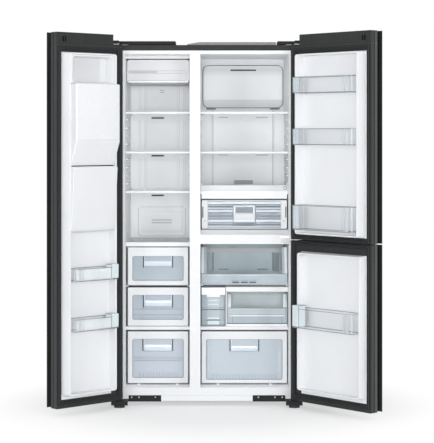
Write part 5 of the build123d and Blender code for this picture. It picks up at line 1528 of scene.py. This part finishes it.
def cap_slots(name, body, free, side, top):
    """Two short slots in the inner face of a door's top cap, near its free edge, drawn as black blocks of painted
    shadow.
    """
    form = Form()
    for first in (32, 46):
        form.block(beside(free, -side, first, first + 6), (-12, -7.2), (top - 44, top - 20), "slot_black", 0.8)
    form.done(name, body)


class REFRIGERATOR_OT_left_door(PieceOperator):
    """The freezer door: panel, frame, foam, liner, seal and the alcove at its head."""

    bl_idname = "refrigerator.left_door"
    bl_label = "Freezer door"

    def make(self, context):
        dress_door("left_door", "left_moulding")
        x, _, z = size_of("left_door_frame")
        cap_slots("left_cap_slots", "left_door", x[1], 1, z[1])
        self.alcove()

    def alcove(self):
        """A rounded recess over the dispenser's housing, its back painted grey with a lighter patch as painted shade.
        """
        x, y, z = size_of("dispenser_housing")
        liner_z = size_of("left_door_liner")[2]
        form = Form()
        outer = (inset(x, -0.4), (z[1] + 0.4, liner_z[1] - 11.4))
        hole = ((outer[0][0] + 14, outer[0][1] - 12), (outer[1][0] + 4, outer[1][1] - 10))
        back = y[0]
        edge = drawn(*outer, (0, 3, back), (0, 3, 37), (2, 3, 39.4))
        form.loft("Y", edge + drawn(*hole, (-4, 24, 39.4), (-1, 22, 38), (0, 20, 34), (4, 18, back)),
                  "white_moulding", closed=True)
        form.loft("Y", drawn(*hole, (2, 18, back - 2), (2, 18, back + 3.4), (4, 16, back + 4)), "alcove_grey")
        form.block((hole[0][0] + 8, hole[0][0] + 42), (back + 3, back + 6), inset(hole[1], 5), "alcove_pale", 3)
        form.done("door_alcove", "left_door")


class REFRIGERATOR_OT_dispenser(PieceOperator):
    """The ice and water dispenser: its housing inside the door and its recess outside."""

    bl_idname = "refrigerator.dispenser"
    bl_label = "Dispenser"

    def make(self, context):
        dress("black_moulding", "dispenser_recess", "dispenser_paddle")
        self.housing()
        self.recess()

    def housing(self):
        """A bright housing that tapers at its foot, over a rounded bulge."""
        upper, lower = parts_of("dispenser_housing")
        x, y, z = upper
        back, reach = y
        form = Form()
        taper = z[0] + 115
        form.profile("X", [
            (back, z[0] + 0.5), (34.6, z[0] + 0.5), (reach - 0.6, taper), (reach - 0.6, z[1] - 0.5),
            (back, z[1] - 0.5),
        ], inset(x, 0.3), "white_glossy", 7, 3)
        # the lid's seam and the shaded line at the housing's foot
        seam_z = z[0] + 124
        form.block(inset(x, 6), (reach - 2, reach), about(seam_z, 1.3), "seam_grey", 0.5)
        form.block(inset(x, 9), (30, 36.4), (z[0] - 0.5, z[0] + 4.4), "slit_shadow", 0.8)
        x, y, z = lower
        outline = [
            (back, z[0]), (24, z[0]), (34, z[0] + 4), (40, z[0] + 12), (43, z[0] + 26), (61, z[1] - 6),
            (56, z[1]), (back, z[1]),
        ]
        form.profile("X", outline, x, "white_moulding", 4, 3)
        form.done("dispenser_body", "left_door", "dispenser_housing")

    def recess(self):
        """A trim round the recess, its control strip, spout and drip grille."""
        x, y, z = size_of("dispenser_recess")
        face = y[0]
        form = Form()
        form.loft("Y", drawn(x, z, (0, 10, face + 8), (0, 10, face + 0.2), (5, 8, face + 0.2), (6, 7, face + 8)),
                  "black_gloss", closed=True)
        form.block(inset(x, 8), (face + 2, face + 9), (z[1] - 62, z[1] - 8), "black_gloss", 2)
        centre = middle(x)
        form.lathe("Z", (centre, face + 30), [(17, z[1] - 56), (17, z[1] - 64), (13, z[1] - 70), (11, z[1] - 78)],
                   "black_gloss")
        form.block(inset(x, 10), (face + 2, face + 52), (z[0] + 3, z[0] + 10), "vent_grey", 1.5)
        form.done("dispenser_trim", "left_door")
        pitch = 7
        count = int((x[1] - x[0] - 36) / pitch)
        start = (centre - pitch * (count - 1) / 2, face + 27, z[0] + 11.4)
        runs = [bars(46, 2.6, 3, count, start, (pitch, 0, 0), "screw_steel", ALONG_Y)]
        grow(bars_tree(), runs, "drip_grille", "left_door")


class REFRIGERATOR_OT_right_doors(PieceOperator):
    """The two fridge doors, one over the other."""

    bl_idname = "refrigerator.right_doors"
    bl_label = "Fridge doors"

    def make(self, context):
        for name in ("upper_door", "lower_door"):
            dress_door(name, "right_moulding")
        x, _, z = size_of("upper_door_frame")
        cap_slots("right_cap_slots", "upper_door", x[0], -1, z[1])
        # the rounded catch on each door's hinge side: its height and half its height
        for name, height, half in (("upper_door", 1490, 34), ("lower_door", 705, 22)):
            edge = size_of(name + "_liner")[0][1] - 4
            form = Form()
            rings = drawn((edge - 2, edge + 18), about(height, half), (0, 8, -9.8), (0, 8, -2.4), (1, 7, -0.8))
            form.loft("Y", rings, "white_liner")
            form.done(name + "_catch", name)


class REFRIGERATOR_OT_door_bins(PieceOperator):
    """Clear bins on the three doors, with their rims, end brackets and ribs."""

    bl_idname = "refrigerator.door_bins"
    bl_label = "Door bins"

    def make(self, context):
        count = context.scene.refrigerator_fittings.bin_ribs
        # for each door: the way to its hinge, and how far the bins' rims lie under the end brackets
        for node, body, hinge, drop in (("left_door_bins", "left_door", 0, 12),
                                        ("upper_door_bins", "upper_door", 1, 0),
                                        ("lower_door_bin", "lower_door", 1, 14)):
            form = Form()
            runs = []
            for x, y, z in parts_of(node):
                foot, top, head, front = z[0], z[1] - drop, z[1], y[1]
                pivot, far, way = x[hinge], x[1 - hinge], 1 - 2 * hinge
                self.bin(form, x, y, (foot, top), far)
                if hinge == 0:
                    form.block(inset(x, 12), (front - 8, front - 6.6), (foot + 6, top - 5), "pane_pale", 0.4)
                end = beside(pivot, way, 0, 44)
                if drop:
                    form.loft("Z", [
                        (inset(end, 0.4), (y[0] + 30, front), 6, foot + 8),
                        (inset(end, 0.2), (y[0] + 30, front), 6, head),
                    ], "bracket_clear")
                    self.rim(form, end, (y[0] + 30, front), head - 3, head, 6)
                    for place, low, name in ((43, 4, "clear_edge"), (1.6, 8, "line_deep")):
                        across = pivot + way * place
                        form.rod((across, front - 3, foot + low), (across, front - 2, head - 2), 2.4, name)
                else:
                    form.block(inset(end, 2.6), (front - 7.4, front - 6), (foot + 5, head - 4), "end_tint", 0.4)
                length = top - foot - 12
                level = middle((foot, top)) - 1
                # painted highlight: the light bar near the bin's free end
                for start, width, depth, number, step, name in (
                    (pivot + way * 9, 2, 1.6, count + 1, way * 11, "rib_faint"),
                    (far - way * 34, 16, 1.4, 1, -way * 20, "strip_faint"),
                    (far - way * 52, 7, 1.6, 1, -way * 20, "soft_light"),
                ):
                    runs.append(bars(length, width, depth, number, (start, front - 5, level), (step, 0, 0), name,
                                     (0, 88.5, 90)))
            form.done(node + "_shell", body, node)
            grow(bars_tree(), runs, node + "_ribs", body)

    def rim(self, form, x, y, low, high, radius):
        """A dense ring round a bin."""
        form.ring("Z", inset(x, 0.1), inset(y, 0.1), (radius, radius - 2), 2.3, low, high, "clear_edge")

    def bin(self, form, x, y, z, free):
        """A clear bin whose front leans out to its rim; free is the end away from the hinge."""
        wall = 2.4
        foot_y = (y[0], y[1] - 2)
        form.loft("Z", [
            *drawn(x, foot_y, (1.5, 8, z[0]), (0, 9, z[0] + 2)),
            *drawn(x, y, (0, 10, z[1] - 1), (0.5, 10, z[1]), (wall, 8, z[1])),
            *drawn(x, foot_y, (wall, 7, z[0] + wall)),
        ], ("clear_end", "clear_plastic", "clear_floor"))
        self.rim(form, x, y, z[1] - 2.6, z[1] - 0.2, 10)
        self.rim(form, x, foot_y, z[0] + 0.2, z[0] + 3.4, 10)
        for side, edge in zip(inset(x, 1.9), x):
            form.rod((side, y[1] - 5, z[0] + 3), (side, y[1] - 3.4, z[1] - 2), 2.4,
                     "soft_white" if edge == free else "clear_edge")
            if edge == free:
                form.rod((side, y[0] + 2.4, z[0] + 2), (side, y[0] + 2.4, z[1] - 1), 3.2, "line_deep")


class REFRIGERATOR_OT_stage(PieceOperator):
    """Floor, lamps, room and camera."""

    bl_idname = "refrigerator.stage"
    bl_label = "Stage"

    def make(self, context):
        scene = context.scene
        stage = scene.refrigerator_stage
        scene.view_settings.view_transform = "Standard"
        self.floor(scene)
        self.room(scene, stage)
        lamps = [
            ("key_lamp", (0.05, -9.0, 1.5), (0, 0.1, 1.0), 1.7, stage.key_power),
            ("fill_lamp", (0.0, -6.0, 0.1), (0, 0.2, 1.2), 2.0, stage.fill_power),
            ("top_lamp", (0.2, -1.0, 4.6), (0, 0.0, 0.9), 3.0, stage.top_power),
        ]
        for side in (-1, 1):
            lamps += [
                ("side_lamp_%d" % side, (side * 4.4, -7.8, 2.3), (0, 0.1, 0.9), 2.6, stage.side_power),
                ("back_lamp_%d" % side, (side * 4.0, 4.6, 2.6), (0, 0.3, 0.9), 3.0, stage.back_power),
            ]
        for lamp in lamps:
            self.lamp(scene, *lamp)
        data = bpy.data.cameras.new("camera")
        data.lens = stage.lens
        data.sensor_width = 36.0
        data.shift_y = stage.shift
        data.clip_end = 100.0
        camera = bpy.data.objects.new("camera", data)
        spot = CABINET @ Vector((stage.camera_x / MM, -stage.camera_distance / MM, stage.camera_height / MM))
        camera.matrix_world = Matrix.Translation(spot) @ Euler((math.radians(90), 0, 0)).to_matrix().to_4x4()
        scene.collection.objects.link(camera)
        scene.camera = camera

    def lamp(self, scene, name, spot, target, size, power):
        """A square lamp that faces a target."""
        data = bpy.data.lights.new(name, "AREA")
        data.shape = "SQUARE"
        data.size = size
        data.energy = power
        lamp = bpy.data.objects.new(name, data)
        aim = (Vector(target) - Vector(spot)).to_track_quat("-Z", "Y")
        lamp.matrix_world = Matrix.Translation(spot) @ aim.to_matrix().to_4x4()
        scene.collection.objects.link(lamp)

    def floor(self, scene):
        """A pale floor that keeps the object's shadow and turns to plain white further out."""
        form = bmesh.new()
        bmesh.ops.create_grid(form, x_segments=8, y_segments=8, size=14.0)
        mesh = bpy.data.meshes.new("floor")
        form.to_mesh(mesh)
        form.free()
        floor = bpy.data.objects.new("floor", mesh)
        scene.collection.objects.link(floor)
        material = bpy.data.materials.new("floor")
        material.use_nodes = True
        tree = material.node_tree
        tree.nodes.clear()
        place = add_node(tree, "ShaderNodeTexCoord").outputs["Object"]
        away = add_node(tree, "ShaderNodeVectorMath", place, operation="LENGTH").outputs["Value"]
        spread = add_node(tree, "ShaderNodeMapRange", away, 0.55, 1.1, 0.42, 1.0).outputs["Result"]
        seen = self.seen_by(tree, ("Is Camera Ray", "Is Transmission Ray", "Is Glossy Ray"))
        share = add_node(tree, "ShaderNodeMath", seen, spread, operation="MULTIPLY").outputs["Value"]
        pale = add_node(tree, "ShaderNodeBsdfDiffuse", Color=(0.86, 0.86, 0.86, 1)).outputs["BSDF"]
        glow = add_node(tree, "ShaderNodeEmission", Strength=1.0).outputs["Emission"]
        mix = add_node(tree, "ShaderNodeMixShader", share, pale, glow).outputs["Shader"]
        add_node(tree, "ShaderNodeOutputMaterial", Surface=mix)
        mesh.materials.append(material)

    def seen_by(self, tree, kinds):
        """One where a ray is of any of the kinds, nought elsewhere."""
        rays = add_node(tree, "ShaderNodeLightPath").outputs
        seen = rays[kinds[0]]
        for kind in kinds[1:]:
            seen = add_node(tree, "ShaderNodeMath", seen, rays[kind], operation="MAXIMUM").outputs["Value"]
        return seen

    def room(self, scene, stage):
        """White for the camera, a softer white for the light that falls on the object."""
        world = bpy.data.worlds.new("room")
        world.use_nodes = True
        tree = world.node_tree
        tree.nodes.clear()
        light = add_node(tree, "ShaderNodeBackground", Color=(0.97, 0.985, 1.0, 1), Strength=stage.ambient)
        backdrop = add_node(tree, "ShaderNodeBackground", Color=(1, 1, 1, 1))
        seen = self.seen_by(tree, ("Is Camera Ray", "Is Transmission Ray"))
        mix = add_node(tree, "ShaderNodeMixShader", seen, light.outputs["Background"], backdrop.outputs["Background"])
        add_node(tree, "ShaderNodeOutputWorld", Surface=mix.outputs["Shader"])
        scene.world = world


OPERATORS = (
    REFRIGERATOR_OT_cabinet,
    REFRIGERATOR_OT_compartments,
    REFRIGERATOR_OT_cooling,
    REFRIGERATOR_OT_hinges,
    REFRIGERATOR_OT_shelves,
    REFRIGERATOR_OT_freezer_drawers,
    REFRIGERATOR_OT_crisper,
    REFRIGERATOR_OT_chiller,
    REFRIGERATOR_OT_tray_and_bins,
    REFRIGERATOR_OT_left_door,
    REFRIGERATOR_OT_dispenser,
    REFRIGERATOR_OT_right_doors,
    REFRIGERATOR_OT_door_bins,
    REFRIGERATOR_OT_stage,
)


class REFRIGERATOR_PT_pieces(bpy.types.Panel):
    """Lists the pieces of the refrigerator and their settings."""

    bl_idname = "REFRIGERATOR_PT_pieces"
    bl_label = "Side by side refrigerator"
    bl_space_type = "VIEW_3D"
    bl_region_type = "UI"
    bl_category = "Refrigerator"

    def draw(self, context):
        layout = self.layout
        for setting in SETTINGS:
            group = getattr(context.scene, setting)
            box = layout.box()
            for name in group.__annotations__:
                box.prop(group, name)
        for operator in OPERATORS:
            layout.operator(operator.bl_idname)


SETTINGS = {
    "refrigerator_finishes": REFRIGERATOR_PG_finishes,
    "refrigerator_fittings": REFRIGERATOR_PG_fittings,
    "refrigerator_stage": REFRIGERATOR_PG_stage,
}


def register():
    for setting, group in SETTINGS.items():
        bpy.utils.register_class(group)
        setattr(bpy.types.Scene, setting, PointerProperty(type=group))
    for operator in OPERATORS:
        bpy.utils.register_class(operator)
    bpy.utils.register_class(REFRIGERATOR_PT_pieces)


def unregister():
    bpy.utils.unregister_class(REFRIGERATOR_PT_pieces)
    for operator in reversed(OPERATORS):
        bpy.utils.unregister_class(operator)
    for setting, group in SETTINGS.items():
        delattr(bpy.types.Scene, setting)
        bpy.utils.unregister_class(group)


def main():
    """Makes every piece in order."""
    register()
    for operator in OPERATORS:
        group, name = operator.bl_idname.split(".")
        getattr(getattr(bpy.ops, group), name)()


if __name__ == "__main__":
    main()
